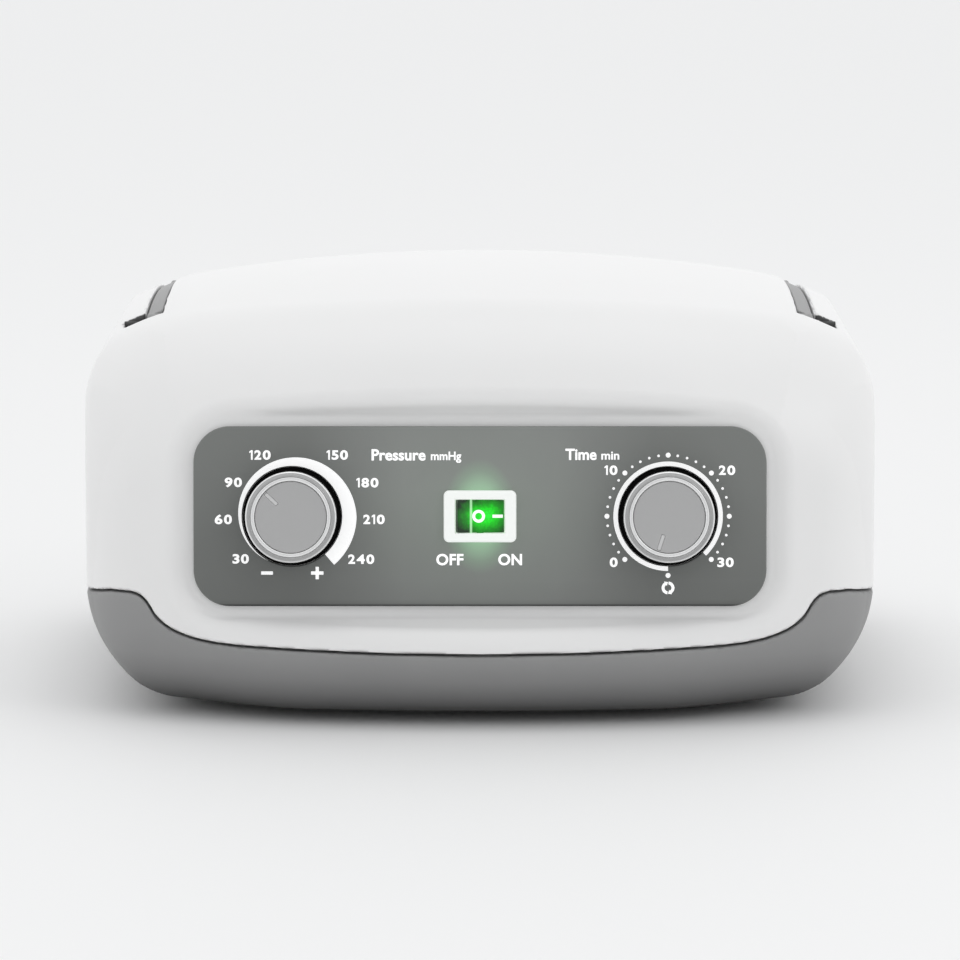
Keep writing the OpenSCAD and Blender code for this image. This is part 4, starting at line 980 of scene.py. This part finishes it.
def number(text, x, v):
    """A number set digit by digit, centred on (x, v)."""
    widths = [DIGIT_W.get(c, 1.05) for c in text]
    at = x - (sum(widths) + DIGIT_GAP * (len(text) - 1)) / 2
    out_v, out_f = [], []
    for c, w in zip(text, widths):
        if c == "1":
            left = min(px for px, _ in ONE) * DIGIT_H
            pts = [(px * DIGIT_H - left, py * DIGIT_H, 0) for px, py in ONE]
            gv, gf = thicken(pts, [(6, 5, 4, 3, 2), (0, 6, 2, 1)], at, v - DIGIT_H / 2)
        else:
            gv, gf = words(c, at, v, DIGIT_H, 0.036, align="left", width=w)
        out_f += [tuple(i + len(out_v) for i in f) for f in gf]
        out_v += list(gv)
        at += w + DIGIT_GAP
    return out_v, out_f


def band_width(clock):
    """Width of the band round the pressure dial, which grows with the pressure."""
    return np.interp(clock, (-152, -90, 0, 90, 139), (0.0, 0.9, 2.4, 4.1, 4.0))


# Numbers of the two scales, each with its place from the dial's middle
PRESSURE_MARKS = (("30", -14.8, -12.3), ("60", -19.8, -0.9), ("90", -16.9, 9.8), ("120", -9.2, 17.7),
                  ("150", 13.1, 17.7), ("180", 21.8, 9.7), ("210", 23.7, -0.9), ("240", 20.0, -12.4))
TIME_MARKS = (("0", -15.7, -13.3), ("10", -16.5, 13.3), ("20", 17.0, 13.3), ("30", 16.6, -13.3))
# Minus and plus: width, height and distance from the dial's middle
SIGNS, SIGN_V = ((3.4, 0.95, -7.2), (3.6, 0.95, 7.3), (0.95, 3.6, 7.3)), -16.4
BAND_R, TIME_ARC_IN, TIME_ARC_OUT = 14.55, 14.5, 15.8
DOTS, DOT_STEP, DOT_RING_R, DOT_R, BIG_DOT_R, END_DOT_V = 31, 9, 17.65, 0.38, 0.72, -17.1
LOOP_V, LOOP_IN, LOOP_OUT, LOOP_MID, LOOP_FROM, LOOP_TO = -20.7, 1.0, 1.85, 1.42, 6, 148

prints = []
for label, dx, v in PRESSURE_MARKS:
    prints.append(number(label, -DIAL_X + dx, v))
for w, h, dx in SIGNS:
    prints.append(thicken(*box_flat(w, h), -DIAL_X + dx, SIGN_V))
band = ring_arc(lambda a: BAND_R, lambda a: BAND_R + 0.01 + band_width(a), -152, 139)
prints.append(thicken(*band, -DIAL_X, 0))
prints.append(thicken(*ring_arc(lambda a: TIME_ARC_IN, lambda a: TIME_ARC_OUT, -180, 136), DIAL_X, 0))
for k in range(DOTS):
    a = math.radians(DOT_STEP * (k - DOTS // 2))
    dot = disc(DOT_R if k % 5 else BIG_DOT_R)
    prints.append(thicken(*dot, DIAL_X + DOT_RING_R * math.sin(a), DOT_RING_R * math.cos(a)))
prints.append(thicken(*disc(BIG_DOT_R), DIAL_X, END_DOT_V))
for label, dx, v in TIME_MARKS:
    prints.append(number(label, DIAL_X + dx, v))
# Endless-run sign: two bowed arrows
for turn in (0, 180):
    bow = ring_arc(lambda a: LOOP_IN, lambda a: LOOP_OUT, turn + LOOP_FROM, turn + LOOP_TO, 24)
    prints.append(thicken(*bow, DIAL_X, LOOP_V))
    t = math.radians(turn + LOOP_TO)
    side = np.array((math.sin(t), math.cos(t), 0))
    ahead = np.array((math.cos(t), -math.sin(t), 0))
    end = LOOP_MID * side
    head = [end + 0.75 * side, end - 0.75 * side, end + 0.9 * ahead]
    prints.append(thicken(head, [(0, 2, 1)], DIAL_X, LOOP_V))
prints.append(words("Pressure", -31.3, 17.75, 3.3, 0.027, align="left", width=15.6))
prints.append(words("mmHg", -14.2, 17.45, 2.5, 0.024, align="left", width=8.8))
prints.append(words("Time", 24.65, 17.9, 3.3, 0.027, align="left", width=9.0))
prints.append(words("min", 35.0, 17.6, 2.5, 0.024, align="left", width=5.2))
prints.append(words("OFF", -8.7, -12.5, 3.3, 0.03, spacing=1.04))
prints.append(words("ON", 8.7, -12.5, 3.3, 0.03, spacing=1.04))
verts, faces = [], []
for pv, pf in prints:
    faces += [tuple(i + len(verts) for i in f) for f in pf]
    verts += list(pv)
legend = new_object("fascia_print", verts, faces, M["print"], panel_matrix(0, 0, PRINT_H), smooth=False)
finish_piece(legend, ROOT, None)


# Marks on the rocker, lying on its long slope
def on_slope(x):
    h = AXLE_H + FOLD_H + FALL * (x - FOLD_X) + 0.09
    return panel_matrix(x, 0, h) @ Matrix.Rotation(-math.atan(FALL), 4, "Y")


def rocker_mark(name, flat, x):
    mark = new_object(name, *thicken(*flat, 0, 0, 0.06), M["print"], on_slope(x), smooth=False)
    finish_piece(mark, "rocker", None)


rocker_mark("rocker_mark_off", ring_arc(lambda a: 1.0, lambda a: 1.85, 0, 360, 48), -0.4)
rocker_mark("rocker_mark_on", box_flat(3.0, 0.9), 5.1)


# ---- Handle ----
def arm_field(x, y, z):
    """Curved strip along the housing, with an eye for the pin in front and a boss for the bar behind."""
    ax = np.abs(x)
    far = np.hypot(y - CROWN_Y, z - ARC_Z)
    from_pin = np.hypot(y - PIVOT_Y, z - PIVOT_Z)
    from_bar = np.hypot(y - BAR_Y, z - BAR_Z)
    top = far - (ARM_HIGH - (ax - (ARM_X - ARM_W / 2)) * SHOULDER[0] / SHOULDER[1])
    strip = blend(top * SHOULDER[1], np.abs(ax - ARM_X) - ARM_W / 2, 0.6)
    strip = np.maximum(strip, ARM_LOW - far)
    strip = np.maximum(strip, np.maximum(PIVOT_Y - y, y - BAR_Y))
    thick = np.abs(ax - ARM_X) - ARM_W / 2 + 0.2
    solid = np.minimum(strip, blend(from_pin - EYE_R, thick, 0.4))
    solid = np.minimum(solid, blend(from_bar - GRIP_R, thick, 0.8))
    return np.maximum(np.maximum(solid, PIN_R - from_pin), BAR_R - from_bar)


for sign, cad in ((-1, "handle_arm_left"), (1, "handle_arm_right")):
    x0 = sign * ARM_X
    field_piece(cad + "_strip", "handle", cad, M["arm"], arm_field, lo=(x0 - 3, PIVOT_Y - 6, 88),
                hi=(x0 + 3, BAR_Y + 8.5, 122), step=(0.5, 0.6, 0.5))

GRIP_HALF = ARM_X - ARM_W / 2
grip_points = [(BAR_R, -GRIP_HALF), (GRIP_R, -GRIP_HALF), (GRIP_R, GRIP_HALF), (BAR_R, GRIP_HALF),
               (BAR_R, -GRIP_HALF)]
grip_matrix = Matrix.Translation((0, BAR_Y * MM, BAR_Z * MM)) @ Matrix.Rotation(math.pi / 2, 4, "Y")
grip_profile = rounded_profile(grip_points, [0, 1.2, 1.2, 0, 0])
grip = lathe("handle_grip_sleeve", grip_profile, M["grip"], grip_matrix, around=72)
finish_piece(grip, "handle", "handle_grip")

# ---- Regulator spring ----
SPRING_TURNS, SPRING_R, SPRING_WIRE, SPRING_LOW, SPRING_HIGH = 5, 6.0, 0.5, -27.5, -16.5
RING, SIDES = 32, 8
coil, coil_faces = [], []
for k in range(SPRING_TURNS * RING + 1):
    a = 2 * math.pi * k / RING
    height = SPRING_LOW + (SPRING_HIGH - SPRING_LOW) * k / (SPRING_TURNS * RING)
    for j in range(SIDES):
        b = 2 * math.pi * j / SIDES
        r = SPRING_R + SPRING_WIRE * math.cos(b)
        coil.append((r * math.cos(a), r * math.sin(a), height + SPRING_WIRE * math.sin(b)))
for k in range(SPRING_TURNS * RING):
    for j in range(SIDES):
        after = (j + 1) % SIDES
        coil_faces.append((k * SIDES + j, (k + 1) * SIDES + j, (k + 1) * SIDES + after, k * SIDES + after))
coil_faces += [tuple(range(SIDES)), tuple(reversed(range(len(coil) - SIDES, len(coil))))]
spring = new_object("regulator_coil", coil, coil_faces, M["steel"], panel_matrix(-DIAL_X))
fix_outward(spring)
finish_piece(spring, ROOT, "regulator_spring")
panel_matrix(-DIAL_X, 0, SPRING_LOW).translation
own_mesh(spring)
